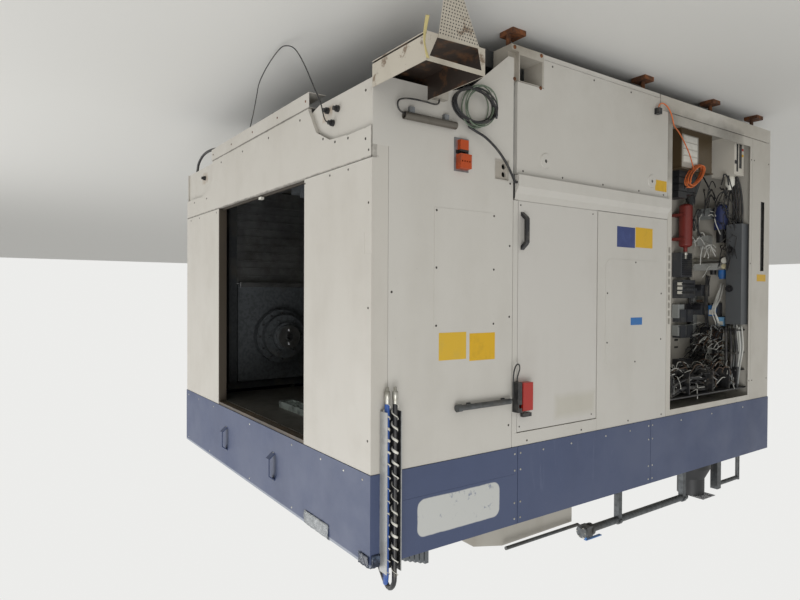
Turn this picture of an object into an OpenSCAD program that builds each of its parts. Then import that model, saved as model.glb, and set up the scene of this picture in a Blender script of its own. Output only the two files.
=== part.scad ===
// Horizontal CNC machining center in a closed sheet-metal enclosure, +Z up, floor at z = 0.
// Places are given as a (along the front from the near corner), b (from the front to the rear)
// and height; the origin is the middle of the four corner anchor holes, at floor level.

/* [Enclosure] */
// Width of the front
front_w = 3170; // [3100:10:3400]
// Length of the long side
side_l = 4150; // [4100:10:4400]
// Height of the top edge above the floor
top_h = 2920; // [2880:10:3000]
// Height of the coloured band round the top
band_h = 455; // [440:5:470]
// Thickness of the panel sheet
sheet = 3; // [2:0.5:4]
// Depth of the folded edges of a panel
fold = 25; // [20:1:32]
// Gap between neighbouring panels
seam = 4; // [2:1:6]

/* [Feet and base] */
// Clear height between the floor and the base
foot_h = 120; // [100:5:150]
// Height of the base beams
beam_h = 100; // [80:5:110]
// Distance of the outer feet from the sides
foot_in = 90; // [85:5:100]
// Side of a square foot pad
pad_s = 110; // [90:5:115]
// Diameter of an anchor hole in a corner pad
anchor_d = 22; // [16:1:26]
// Diameter of a levelling screw
foot_screw_d = 30; // [24:2:36]

/* [Front opening] */
// Distance of the opening from the near corner
open_a = 748; // [730:2:760]
// Width of the opening
open_w = 1537; // [1500:5:1560]
// Height of the sill above the floor
sill_h = 898; // [880:2:910]
// Depth of the strips that line the opening
jamb_d = 60; // [40:5:80]

/* [Side door] */
// Distance of the door from the near corner
door_b = 1015; // [1013:1:1020]
// Width of the door
door_w = 730; // [715:1:732]
// Height of the door's lower edge above the floor
door_h0 = 1022; // [1020:1:1030]
// Height of the door
door_h = 1358; // [1340:2:1360]
// Diameter of the door's pivot pins
hinge_pin_d = 10; // [8:1:12]
// How far the bow handle stands out
grip_out = 45; // [35:1:60]

/* [Cabinet] */
// Length of the cabinet
cab_l = 1269; // [1250:1:1280]
// Distance from the cabinet to the rear end
pillar_l = 324; // [310:2:334]
// Depth of the cabinet
cab_d = 500; // [480:5:540]
// Diameter of the accumulator
accu_d = 110; // [90:2:120]
// Diameter of the filter bowl
bowl_d = 112; // [90:2:116]
// Diameter of a selector knob
knob_d = 46; // [36:2:56]

/* [Machine] */
// Height of the bed's top
bed_h = 650; // [640:5:660]
// Height of the spindle axis at rest
spindle_h = 1955; // [1940:5:1965]
// Distance of the spindle axis from the front
spindle_b = 650; // [645:1:655]
// Diameter of the spindle housing's ring
ring_d = 470; // [420:10:500]
// Diameter of the spindle in its bearings
spindle_d = 140; // [120:5:160]
// Side of the square pallet
pallet_s = 700; // [600:10:720]
// Running clearance between sliding pieces
run = 0.5; // [0.3:0.1:1]

/* [Chip tray] */
// How far the chip tray stands out of the side
tray_out = 430; // [380:10:460]
// Length of the tray along the side
tray_l = 340; // [320:5:360]
// Height of the tray's rim
tray_rim = 562; // [550:1:580]

/* [Roof pipes] */
// Diameter of the main pipe
pipe_d = 50; // [40:2:60]
// Height of the main pipe above the roof sheets
pipe_rise = 312; // [270:5:345]
// Distance of the main pipe from the side
pipe_a = 150; // [140:5:160]

/* [Hidden] */

white = [0.86, 0.85, 0.82];
blue = [0.45, 0.51, 0.62];
galvanised = [0.62, 0.63, 0.64];
dark = [0.13, 0.13, 0.14];
iron = [0.35, 0.37, 0.38];
steel = [0.7, 0.7, 0.7];
rust = [0.42, 0.26, 0.16];

hw = front_w / 2;
foot_b0 = 1050;
foot_b1 = side_l - 120;
org_b = (foot_b0 + foot_b1) / 2;
band_h0 = top_h - band_h;
panel_top = band_h0 - seam / 2;
post_s = 60;
rail_h0 = top_h - 100;
rail_s = 60;
roof_h = rail_h0 + rail_s;
base_h = foot_h + beam_h;
beam_w = 120;
beam_in = fold + 5;
door_b1 = door_b + door_w;
door_h1 = door_h0 + door_h;
door_post_b = 971;
corner_w = 97;
corner_step_h = 835;
ledge_h1 = 1017;
ledge_h0 = 871;
cab_b = side_l - pillar_l - cab_l;
cab_b1 = cab_b + cab_l;
open_a1 = open_a + open_w;

// Local frames: x along a side, y up, z into the machine
module at_side(inset = 0) translate([-hw + inset, -org_b, 0]) rotate([90, 0, 90]) children();
module at_far_side(inset = 0) mirror([1, 0, 0]) at_side(inset) children();
module at_front(inset = 0) translate([-hw, -org_b + inset, 0]) mirror([0, 1, 0]) rotate([90, 0, 0]) children();
module at_rear(inset = 0) translate([-hw, side_l - org_b - inset, 0]) rotate([90, 0, 0]) children();
// World frame with its corner at the near corner of the enclosure, on the floor
module at_corner() translate([-hw, -org_b, 0]) children();

// Box between two corners
module box(p, q) translate(p) cube(q - p);
// Sheet with its four edges folded inwards
module pan(x0, y0, x1, y1, depth = fold) difference() {
    box([x0, y0, 0], [x1, y1, depth]);
    box([x0 + sheet, y0 + sheet, sheet], [x1 - sheet, y1 - sheet, depth + 1]);
}
// Round bar from one point along an axis
module rod_z(p, d, l) translate(p) cylinder(d = d, h = l, $fn = 40);
module rod_x(p, d, l) translate(p) rotate([0, 90, 0]) cylinder(d = d, h = l, $fn = 40);
module rod_y(p, d, l) translate(p) rotate([-90, 0, 0]) cylinder(d = d, h = l, $fn = 40);

// Smooth curve through points, and a tube swept along it
function blend_point(p0, p1, p2, p3, t) = 0.5 * ((2 * p1) + (p2 - p0) * t
    + (2 * p0 - 5 * p1 + 4 * p2 - p3) * t * t + (3 * p1 - p0 - 3 * p2 + p3) * t * t * t);
function smooth(p, n) = [for (i = [0 : len(p) - 2]) for (k = [0 : n - 1])
    blend_point(p[max(i - 1, 0)], p[i], p[i + 1], p[min(i + 2, len(p) - 1)], k / n), p[len(p) - 1]];
function unit(v) = v / max(norm(v), 1e-6);
function tangent(q, i) = unit(q[min(i + 1, len(q) - 1)] - q[max(i - 1, 0)]);
function frames(q, i = 0, prev = undef) = i >= len(q) ? [] :
    let (t = tangent(q, i),
         seed = prev == undef ? (abs(t[2]) < 0.8 ? [0, 0, 1] : [0.3, 1, 0]) : prev,
         n = unit(seed - t * (seed * t)))
    concat([[n, cross(t, n)]], frames(q, i + 1, n));
module tube(points, d, sides = 8, steps = 4) {
    q = smooth(points, steps);
    f = frames(q);
    m = len(q);
    verts = [for (i = [0 : m - 1]) for (k = [0 : sides - 1])
        q[i] + d / 2 * (f[i][0] * cos(360 * k / sides) + f[i][1] * sin(360 * k / sides))];
    walls = [for (i = [0 : m - 2]) for (k = [0 : sides - 1])
        [i * sides + k, (i + 1) * sides + k, (i + 1) * sides + (k + 1) % sides, i * sides + (k + 1) % sides]];
    ends = [[for (k = [0 : sides - 1]) k], [for (k = [0 : sides - 1]) m * sides - 1 - k]];
    polyhedron(verts, concat(walls, ends), convexity = 6);
}

// Base: feet, beams, corner blocks and posts

module foot(a, b, anchored) {
    pad_h = 30;
    difference() {
        at_corner() box([a - pad_s / 2, b - pad_s / 2, 0], [a + pad_s / 2, b + pad_s / 2, pad_h]);
        if (anchored) at_corner() translate([a, b, -1]) cylinder(d = anchor_d, h = pad_h + 2, $fn = 32);
    }
    // The screw stands beside the anchor hole
    offset_b = anchored ? pad_s / 2 - foot_screw_d / 2 - 3 : 0;
    at_corner() rod_z([a, b - offset_b, pad_h], foot_screw_d, foot_h - pad_h);
    at_corner() translate([a, b - offset_b, foot_h - 24]) cylinder(d = foot_screw_d * 1.5, h = 18, $fn = 6);
}

module levelling_feet() color(rust) {
    for (a = [foot_in, front_w - foot_in]) {
        for (b = [foot_b0, foot_b1]) foot(a, b, true);
        foot(a, 2370, false);
        foot(a, 3300, false);
    }
    for (b = [front_beam_b + beam_w / 2, 2370, foot_b1]) foot(front_w / 2, b, false);
}

beam_b0 = 1222;
front_beam_b = 890;
// The bed leaves this height free where the fork passes under it
tunnel_h = 330;
// Bolted or welded pieces of one node stay separate solids, with this much air between them
joint = 0.3;
module base_beams() color(dark) {
    for (m = [0, 1]) mirror([m, 0, 0]) at_corner()
        box([beam_in, beam_b0, foot_h], [beam_in + beam_w, side_l - fold - 5, base_h]);
    at_corner() for (b = [front_beam_b, 2310, foot_b1 - beam_w / 2])
        box([beam_in + beam_w + joint, b, foot_h], [front_w - beam_in - beam_w - joint, b + beam_w, base_h]);
}

// Cast corner block with the pocket for a lifting fork
block_b0 = 950;
pocket_b = [1018, 1210];
pocket_h = [172, 321];
module corner_blocks() color(white) for (m = [0, 1]) mirror([m, 0, 0]) at_corner() difference() {
    box([0, block_b0, foot_h], [beam_in + beam_w, beam_b0, pocket_h[1] + 12]);
    box([-1, pocket_b[0], pocket_h[0]], [beam_in + beam_w + 1, pocket_b[1], pocket_h[1]]);
    // The block is drawn back where the panel and the brace pass in front of it
    box([-1, block_b0 - 1, 155], [fold + 5, pocket_b[0] - 8, pocket_h[1] + 20]);
    box([-1, block_b0 - 1, pocket_h[1] + 4], [fold + 5, beam_b0 + 1, pocket_h[1] + 20]);
}

post_places = [100, door_post_b + 5, 1757, cab_b - post_s, side_l - 95];
module enclosure_posts() {
    for (m = [0, 1]) mirror([m, 0, 0]) at_corner() for (b = post_places)
        box([fold, b, b < block_b0 ? 500 : b < beam_b0 ? pocket_h[1] + 12 : base_h],
            [fold + post_s, b + post_s, rail_h0 - joint]);
    at_corner() for (a = [1555]) box([a, side_l - fold - post_s, base_h], [a + post_s, side_l - fold, rail_h0 - joint]);
}

module top_rails() at_corner() {
    for (a = [fold, front_w - fold - rail_s])
        box([a, fold, rail_h0], [a + rail_s, side_l - fold, roof_h]);
    for (b = [fold, 1400, 2780, side_l - fold - rail_s])
        box([fold + rail_s + joint, b, rail_h0], [front_w - fold - rail_s - joint, b + rail_s, roof_h]);
}

module enclosure_frame() color(galvanised) {
    enclosure_posts();
    top_rails();
}

// Machine inside: bed, chamber, column, head, spindle and table

way_b = [520, 1250];
way_w = 80;
way_h = 50;
bed_a0 = 640;
bed_a1 = front_w - beam_in - beam_w - 2;
chamber_b0 = fold + 40;
chamber_b1 = 1740;
chamber_a0 = 330;
chamber_h1 = band_h0 - 25;
bed_b1 = side_l - 250;
deck_h = bed_h - 90;
module machine_bed() color(iron) at_corner() {
    leg_b1 = front_beam_b + beam_w;
    rear_b0 = beam_b0 - 4 + joint;
    // Front slab, the leg on the front beam and the bridge over the fork tunnel
    box([bed_a0, 90, 500], [bed_a1, 620, bed_h]);
    translate([bed_a0, 0, 0]) rotate([90, 0, 90]) linear_extrude(bed_a1 - bed_a0)
        polygon([[620 + joint, 500], [front_beam_b, base_h], [leg_b1, base_h], [leg_b1, bed_h], [620 + joint, bed_h]]);
    box([bed_a0, leg_b1 + joint, tunnel_h], [bed_a1, beam_b0 - 4, bed_h]);
    // Rear deck on its long ribs and cross walls, open below
    box([bed_a0, rear_b0, deck_h], [bed_a1, bed_b1, bed_h]);
    rib_w = 120;
    rib_step = (bed_a1 - bed_a0 - rib_w) / 3;
    for (i = [0 : 3]) box([bed_a0 + i * rib_step, rear_b0, base_h], [bed_a0 + i * rib_step + rib_w, bed_b1, deck_h - joint]);
    for (i = [0 : 2]) for (b = [rear_b0, (rear_b0 + bed_b1) / 2 - 50, bed_b1 - 100])
        box([bed_a0 + i * rib_step + rib_w + joint, b, base_h], [bed_a0 + (i + 1) * rib_step - joint, b + 100, deck_h - joint]);
    for (b = way_b) box([700, b, bed_h - 1], [col_a0 - 200, b + way_w, bed_h + way_h]);
}

floor_t = 4;
module chamber_floor() at_corner() {
    strips = [[chamber_b0, way_b[0] - 1], [way_b[0] + way_w + 1, way_b[1] - 1], [way_b[1] + way_w + 1, chamber_b1]];
    for (s = strips) box([bed_a0, s[0], bed_h], [col_a0 - 10, s[1], bed_h + floor_t]);
    // Sloped apron at the left that leads chips onto the bed
    translate([0, chamber_b1, 0]) rotate([90, 0, 0]) linear_extrude(chamber_b1 - chamber_b0)
        polygon([[chamber_a0, bed_h + 130], [bed_a0, bed_h + floor_t], [bed_a0, bed_h], [chamber_a0, bed_h + 126]]);
}

module chamber_walls() at_corner() {
    wall_h0 = bed_h + 130.3;
    box([chamber_a0, chamber_b0, wall_h0], [chamber_a0 + floor_t, chamber_b1, chamber_h1]);
    box([chamber_a0 + floor_t, chamber_b1 - floor_t, wall_h0], [col_a0 - 10, chamber_b1, chamber_h1]);
    // Vertical ribs folded into the rear wall
    for (a = [620 : 400 : col_a0 - 350]) box([a, chamber_b1 - 34, wall_h0], [a + 26, chamber_b1 - floor_t, chamber_h1]);
}

module chamber_lining() color(steel) {
    chamber_floor();
    chamber_walls();
    at_corner() box([chamber_a0, chamber_b0, chamber_h1], [col_a0 - 10, chamber_b1, chamber_h1 + floor_t]);
}

module work_lamp() color([0.9, 0.92, 0.9]) at_corner() difference() {
    box([1250, 300, chamber_h1 - 46], [1790, 420, chamber_h1]);
    box([1262, 312, chamber_h1 - 47], [1778, 408, chamber_h1 - 38]);
}

col_a0 = front_w - 520;
col_b0 = spindle_b - 450;
col_b1 = spindle_b + 450;
well_b0 = spindle_b - 380;
well_b1 = spindle_b + 380;
well_h0 = bed_h + 120;
well_h1 = spindle_h + 400;
head_travel = 450;
head_h0 = spindle_h - 455;
head_h1 = spindle_h + 390;
rail_b = [spindle_b - 220, spindle_b + 220];
guide_w = 45;
guide_d = 42;
well_a1 = bed_a1 - 40;
module column() color(iron) at_corner() {
    difference() {
        box([col_a0, col_b0, bed_h], [bed_a1, col_b1, well_h1 + 60]);
        box([col_a0 - 1, well_b0, well_h0], [well_a1, well_b1, well_h1]);
    }
    for (b = rail_b) box([well_a1 - guide_d, b - guide_w / 2, well_h0], [well_a1 + 1, b + guide_w / 2, well_h1]);
    // Dark vertical frames beside the way cover
    for (b = [col_b0, well_b1 + 2]) box([col_a0 - 35, b, bed_h + 10], [col_a0, b + 68, well_h1]);
}

cover_h0 = bed_h + 20;
module lower_way_cover() color(steel) at_corner() {
    // Telescoping slats, each one overlapping the next and a sheet's thickness further back
    count = 12;
    pitch = (head_h0 - cover_h0 - 2) / count;
    for (i = [0 : count - 1])
        box([col_a0 - 24 + (i % 2) * 4, col_b0 + 68.3, cover_h0 + i * pitch],
            [col_a0 - 0.3, well_b1 + 1.7, cover_h0 + (i + 1) * pitch]);
}

nose_a = col_a0 - 290;
module spindle_head() color(iron) at_corner() difference() {
    union() {
        box([col_a0 - 46, well_b0 + 5, head_h0], [col_a0 - 6, well_b1 - 5, head_h1]);
        box([col_a0 - 7, well_b0 + 12, head_h0 + 60], [well_a1 - 60, well_b1 - 12, head_h1 - 60]);
        // Carriage blocks that wrap the guide rails
        for (b = rail_b) for (h = [head_h0 + 90, head_h1 - 230])
            box([well_a1 - 61, b - 60, h], [well_a1 - run, b + 60, h + 140]);
        rod_x([col_a0 - 130, spindle_b, spindle_h], ring_d, 90);
        rod_x([col_a0 - 200, spindle_b, spindle_h], ring_d - 90, 80);
        rod_x([col_a0 - 240, spindle_b, spindle_h], spindle_d + 110, 50);
        // Coolant nozzles round the nose
        for (t = [30 : 60 : 330]) translate([col_a0 - 225, spindle_b, spindle_h]) rotate([t, 0, 0])
            translate([0, 0, spindle_d / 2 + 78]) rotate([0, 90, 0]) cylinder(d = 22, h = 60, $fn = 20);
    }
    for (b = rail_b) box([well_a1 - guide_d - run, b - guide_w / 2 - run, head_h0],
        [well_a1 + 1, b + guide_w / 2 + run, head_h1]);
    rod_x([col_a0 - 300, spindle_b, spindle_h], spindle_d + 0.1, 500);
}

module spindle() color(steel) at_corner() difference() {
    union() {
        rod_x([col_a0 - 241, spindle_b, spindle_h], spindle_d, 400);
        rod_x([nose_a, spindle_b, spindle_h], spindle_d + 60, col_a0 - 241 - nose_a);
        for (s = [-1, 1]) box([nose_a - 12, spindle_b - 9, spindle_h + s * 60 - 10],
            [nose_a + 1, spindle_b + 9, spindle_h + s * 60 + 10]);
    }
    translate([nose_a - 1, spindle_b, spindle_h]) rotate([0, 90, 0]) cylinder(d1 = 70, d2 = 42, h = 100, $fn = 40);
    rod_x([nose_a, spindle_b, spindle_h], 24, 350);
}

saddle_a = 1500;
saddle_h0 = bed_h + 12;
saddle_h1 = bed_h + 150;
cross_way = 190;
module table_saddle() color(iron) at_corner() {
    difference() {
        box([saddle_a - 380, 440, saddle_h0], [saddle_a + 380, 1410, saddle_h1]);
        for (b = way_b) box([saddle_a - 400, b - run, saddle_h0 - 1],
            [saddle_a + 400, b + way_w + run, bed_h + way_h + run]);
    }
    for (s = [-1, 1]) box([saddle_a + s * cross_way - 35, 440, saddle_h1 - 1], [saddle_a + s * cross_way + 35, 1410, saddle_h1 + 42]);
}

table_b = 960;
table_h0 = saddle_h1 + 8;
table_h1 = saddle_h1 + 150;
module pallet_table() color(iron) at_corner() difference() {
    box([saddle_a - 300, table_b - 330, table_h0], [saddle_a + 300, table_b + 330, table_h1]);
    for (s = [-1, 1]) box([saddle_a + s * cross_way - 35 - run, table_b - 340, table_h0 - 1],
        [saddle_a + s * cross_way + 35 + run, table_b + 340, saddle_h1 + 42 + run]);
    // Turned recess that takes the pallet's spigot
    rod_z([saddle_a, table_b, table_h1 - 40], 300, 50);
}

pallet_t = 110;
module rotary_pallet() color(steel) at_corner() difference() {
    union() {
        box([saddle_a - pallet_s / 2, table_b - pallet_s / 2, table_h1 + run],
            [saddle_a + pallet_s / 2, table_b + pallet_s / 2, table_h1 + pallet_t]);
        rod_z([saddle_a, table_b, table_h1 - 38], 300 - 2 * run, 60);
    }
    // Clamping slots across the top
    for (i = [-2 : 2]) {
        box([saddle_a - pallet_s, table_b + i * 125 - 9, table_h1 + pallet_t - 36],
            [saddle_a + pallet_s, table_b + i * 125 + 9, table_h1 + pallet_t + 1]);
        box([saddle_a - pallet_s, table_b + i * 125 - 15, table_h1 + pallet_t - 36],
            [saddle_a + pallet_s, table_b + i * 125 + 15, table_h1 + pallet_t - 22]);
    }
}

// Long side: panels, ledge, door and safety switch

cover_b = [389, 833];
cover_h = [1112, 1752];
recess_b = [826, 933];
recess_h = [800, 914];
module near_side_panel() color(white) at_side() difference() {
    union() {
        linear_extrude(sheet) polygon([[corner_w + seam / 2, panel_top], [door_post_b - seam / 2, panel_top],
            [door_post_b - seam / 2, 200], [925, 200], [625, 448], [460, 490], [4, 490],
            [4, corner_step_h], [corner_w + seam / 2, corner_step_h]]);
        // Folded edges at the top, the door side and the corner
        box([corner_w + seam / 2, panel_top - sheet, 0], [door_post_b - seam / 2, panel_top, fold]);
        box([door_post_b - seam / 2 - sheet, 200, 0], [door_post_b - seam / 2, panel_top, fold]);
        box([corner_w + seam / 2, corner_step_h, 0], [corner_w + seam / 2 + sheet, panel_top, fold]);
    }
    box([recess_b[0], recess_h[0], -1], [recess_b[1], recess_h[1], sheet + 1]);
}

module access_cover() {
    at_side(-2) box([cover_b[0], cover_h[0], 0], [cover_b[1], cover_h[1], 2]);
    // Pocket with two cable holes behind the panel
    at_side() difference() {
        box([recess_b[0] - 12, recess_h[0] - 12, sheet], [recess_b[1] + 12, recess_h[1] + 12, fold - 2]);
        box([recess_b[0], recess_h[0], 0], [recess_b[1], recess_h[1], 14]);
        for (h = [835, 880]) translate([905, h, 0]) cylinder(d = 32, h = fold + 5, $fn = 32);
    }
}

plate_b = [521, 622];
plate_h = [725, 906];
module connector_plate() color(galvanised) {
    at_side(-4) box([plate_b[0], plate_h[0], 0], [plate_b[1], plate_h[1], 4]);
    // Connector block with its sockets
    at_side(-44) difference() {
        box([plate_b[0] + 12, plate_h[0] + 92, 0], [plate_b[1] - 12, plate_h[1] - 12, 40]);
        for (i = [0 : 3]) translate([plate_b[0] + 24 + i * 17, plate_h[1] - 50, -1]) cylinder(d = 10, h = 22, $fn = 20);
    }
    at_side(-30) box([plate_b[0] + 22, plate_h[0] + 14, 0], [plate_b[1] - 22, plate_h[0] + 78, 26]);
    // Empty cable holder tube below, and a small junction box
    at_side(-42) translate([0, 671, 21]) rotate([0, 90, 0]) translate([0, 0, 177]) difference() {
        cylinder(d = 40, h = 338, $fn = 40);
        translate([0, 0, -1]) cylinder(d = 32, h = 340, $fn = 40);
    }
    at_side(-22) for (b = [215, 440]) box([b, 620, 2], [b + 30, 652, 22]);
    at_side(-40) box([352, 494, 0], [448, 552, 40]);
}

module middle_side_panel() at_side() pan(door_b1 + 9, ledge_h1 + seam, cab_b - seam, panel_top);

inset_b = [1838, cab_b - 57];
inset_h = [1330, 2050];
module inset_cover() at_side(-2) linear_extrude(2)
    translate([inset_b[0], inset_h[0]]) rounded(inset_b[1] - inset_b[0], inset_h[1] - inset_h[0], 60);
module screwed_covers() color(white) {
    access_cover();
    inset_cover();
}
// Rectangle with arc corners
module rounded(w, h, r) union() {
    translate([r, 0]) square([w - 2 * r, h]);
    translate([0, r]) square([w, h - 2 * r]);
    for (x = [r, w - r]) for (y = [r, h - r]) translate([x, y]) circle(r = r, $fn = 48);
}

module lower_side_panel() {
    at_side() difference() {
        pan(1000, 155, cab_b - seam, ledge_h0 - seam);
        // Lower corner that the fork pocket shows through, and the step at the cabinet's rail
        box([999, 150, -1], [beam_b0 + 2, pocket_h[1] + 8, fold + 5]);
        box([cab_b - 108, 150, -1], [cab_b, 236, fold + 5]);
        for (b = [1244, cab_b - 204]) translate([b, 762, -1]) cylinder(d = 60, h = sheet + 2, $fn = 40);
    }
    // Round plugs with a keyhole
    at_side(-6) for (b = [1244, cab_b - 204]) translate([b, 762, 0]) difference() {
        cylinder(d1 = 88, d2 = 96, h = 6, $fn = 40);
        translate([0, 0, -1]) cylinder(d = 22, h = 10, $fn = 24);
    }
    at_side(3) box([beam_b0 + 2, foot_h + 2, 0], [cab_b - 108, 151, beam_in - 3]);
}
module side_panels() color(white) {
    middle_side_panel();
    lower_side_panel();
}

ledge_b0 = 985;
module drip_ledge() color(white) translate([-hw, -org_b, 0]) {
    ledge_face = [[0, ledge_h1], [-5, 980], [-32, 943], [-32, 875]];
    // Folded sheet along the side, and the cap that closes its near end
    along_b(ledge_b0, cab_b - seam) polygon(concat(ledge_face, [[-29, 875], [-29, 941], [-2, 978],
        [3, ledge_h1 - 6], [fold, ledge_h1 - 6], [fold, ledge_h1]]));
    along_b(ledge_b0, ledge_b0 + 3) polygon(concat(ledge_face, [[0, 875]]));
}
// Extrudes an outline in x and height from one distance along the side to another
module along_b(b0, b1) translate([0, b1, 0]) rotate([90, 0, 0]) linear_extrude(b1 - b0) children();

header_h = door_h1 + 6;
module door_frame() color(white) {
    at_side() difference() {
        pan(door_post_b + seam / 2, ledge_h1 + seam, door_b - seam, header_h);
        box([door_post_b, 2150, -1], [door_post_b + 10, 2152, 1]);
    }
    at_side() difference() {
        pan(door_post_b + seam / 2, header_h + 0.4, door_b1 + 7, panel_top);
        translate([pivot_b, header_h - 1, pivot_a]) rotate([-90, 0, 0]) cylinder(d = hinge_pin_d, h = sheet + 2, $fn = 40);
    }
    // Threshold under the door
    at_side() difference() {
        box([door_b - 3, ledge_h1, 1], [door_b1 + 7, ledge_h1 + sheet, fold]);
        translate([pivot_b, ledge_h1 - 1, pivot_a]) rotate([-90, 0, 0]) cylinder(d = hinge_pin_d, h = sheet + 2, $fn = 40);
    }
}

pivot_a = 12;
pivot_b = door_b1 - 7;
module side_door() color(white) at_side() difference() {
    union() {
        pan(door_b, door_h0, door_b1, door_h1);
        // Solid corners that take the pivot pins
        for (h = [door_h0, door_h1 - 50]) box([door_b1 - 24, h, 0], [door_b1, h + 50, fold]);
        // Stiffeners folded behind the sheet
        for (h = [door_h0 + 440, door_h0 + 900]) box([door_b + sheet, h, sheet - 1], [door_b1 - sheet, h + 30, 20]);
    }
    for (h = [door_h0 - 1, door_h1 - 41]) translate([pivot_b, h, pivot_a]) rotate([-90, 0, 0])
        cylinder(d = hinge_pin_d + 0.1, h = 42, $fn = 40);
}

grip_h = [1085, 1308];
module door_handle() color(dark) at_side() translate([1048, 0, 0]) rotate([0, -90, 0]) translate([0, 0, -14])
    linear_extrude(28) polygon([[0, grip_h[0]], [-grip_out + 8, grip_h[0] + 30], [-grip_out, grip_h[0] + 42],
        [-grip_out, grip_h[1] - 42], [-grip_out + 8, grip_h[1] - 30], [0, grip_h[1]], [0, grip_h[1] - 22],
        [-grip_out + 16, grip_h[1] - 48], [-grip_out + 16, grip_h[0] + 48], [0, grip_h[0] + 22]]);

module pivot_pins() color(steel) at_side() {
    for (h = [ledge_h1 + 0, header_h + sheet - 40]) translate([pivot_b, h, pivot_a]) rotate([-90, 0, 0])
        cylinder(d = hinge_pin_d - 0.1, h = 40, $fn = 40);
}

switch_h1 = door_h1 - 124;
switch_h = [switch_h1 - 176, switch_h1];
bolt_h = switch_h1 - 36;
module switch_body() color([0.6, 0.1, 0.08]) at_side(-46) difference() {
    box([975, switch_h[0], 0], [1009, switch_h[1], 46]);
    // Open slot for the bolt
    box([984, bolt_h - 11, -1], [1010, bolt_h + 11, 34]);
}
module switch_key() color(dark) {
    at_side(-46) difference() {
        box([1018, switch_h[0] + 6, 0], [1100, switch_h[1] - 6, 46]);
        translate([1017, bolt_h, 22]) rotate([0, 90, 0]) cylinder(d = 16.6, h = 60, $fn = 32);
        // Slot on top in which the bolt's handle travels
        box([1026, bolt_h - 5, 8], [1062, switch_h[1] + 1, 36]);
    }
}
module switch_bolt() color(dark) at_side(-46) {
    translate([1019, bolt_h, 22]) rotate([0, 90, 0]) cylinder(d = 16, h = 40, $fn = 32);
    translate([1054, bolt_h + 6, 22]) rotate([-90, 0, 0]) cylinder(d = 10, h = 40, $fn = 24);
    translate([1030, bolt_h + 46, 10]) cube([70, 22, 24]);
}

conduit_h = switch_h1 - 71;
module cable_conduit() color(galvanised) {
    at_side(-27) translate([560, conduit_h, 0]) rotate([0, 90, 0]) difference() {
        cylinder(d = 32, h = 370, $fn = 40);
        translate([0, 0, -1]) cylinder(d = 25, h = 372, $fn = 40);
    }
    // Saddles that hold the tube
    for (b = [620, 880]) at_side(-11) box([b, conduit_h - 19, 0], [b + 22, conduit_h + 19, 11]);
    // End gland
    at_side(-27) translate([528, conduit_h, 0]) rotate([0, 90, 0]) cylinder(d = 40, h = 32, $fn = 40);
}

// Electrical and service cabinet without its door

pillar_b = [cab_b1 + seam, side_l - 4];
slot_b = [pillar_b[0] + 155, pillar_b[0] + 222];
slot_h = [760, 1360];
module rear_pillar() at_side() difference() {
    pan(pillar_b[0], 240, pillar_b[1], panel_top);
    box([slot_b[0], slot_h[0], -1], [slot_b[1], slot_h[1], sheet + 1]);
}

opening_b = [cab_b + 55, cab_b1 - 36];
opening_h = [310, 2420];
module cabinet_shell() color(white) at_side() difference() {
    box([cab_b, 240, 0], [cab_b1, panel_top, cab_d]);
    box([cab_b + sheet, 240 + sheet, sheet], [cab_b1 - sheet, panel_top - sheet, cab_d - sheet]);
    box([opening_b[0], opening_h[0], -1], [opening_b[1], opening_h[1], sheet + 1]);
    // Row of vents in the right frame strip
    for (i = [0 : 9]) box([cab_b + 16, 1220 + i * 58, -1], [cab_b + 42, 1262 + i * 58, sheet + 1]);
}

module cabinet_surround() color(white) {
    rear_pillar();
    // Rail along the base under the cabinet
    at_side() pan(cab_b - 100, 125, side_l - 4, 234);
}

// Component boards on the rear wall and the end wall of the cabinet
board_t = 3;
wall_b = cab_b1 - sheet;
back_a = cab_d - sheet;
module cabinet_boards() color(white) at_corner() {
    difference() {
        box([160, wall_b - board_t, 620], [back_a - 20, wall_b, 2360]);
        for (h = [1300, 1620]) box([440, wall_b - 10, h], [452, wall_b + 1, h + 60]);
    }
    difference() {
        box([back_a - board_t, opening_b[0] + 30, 620], [back_a, wall_b - 20, 2360]);
        for (h = [1500, 1760, 1960]) box([back_a - 10, wall_b - 263, h], [back_a + 1, wall_b - 249, h + 60]);
    }
    // Diagonal strut leaning across the lower part
    translate([246, wall_b - 183, 258.4]) rotate([-4, 22, 0]) cube([36, 26, 560]);
}

term_a = [22, 150];
term_h = [965, 1820];
term_b0 = wall_b - 120;
module terminal_box() color([0.42, 0.43, 0.43]) at_corner() difference() {
    box([term_a[0], term_b0, term_h[0]], [term_a[1], wall_b, term_h[1]]);
    box([term_a[0] - 1, term_b0 - 1, 1380], [term_a[1] + 1, term_b0 + 1.5, 1383]);
}
knob_a = 118;
knob_h = [1515, 1180];
module knob(h) {
    rod_y([knob_a, term_b0 - 6 - 0.3, h], knob_d + 12, 6);
    difference() {
        rod_y([knob_a, term_b0 - 34, h], knob_d, 28);
        for (t = [0 : 45 : 315]) translate([knob_a, term_b0 - 35, h]) rotate([0, t, 0])
            translate([knob_d / 2 + 3, 0, 0]) rotate([-90, 0, 0]) cylinder(d = 12, h = 24, $fn = 20);
    }
    box([knob_a - 3, term_b0 - 40, h - knob_d / 2 + 4], [knob_a + 3, term_b0 - 33, h + knob_d / 2 - 4]);
}
module selector_knob_1() color(dark) at_corner() knob(knob_h[0]);
module selector_knob_2() color(dark) at_corner() knob(knob_h[1]);

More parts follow.
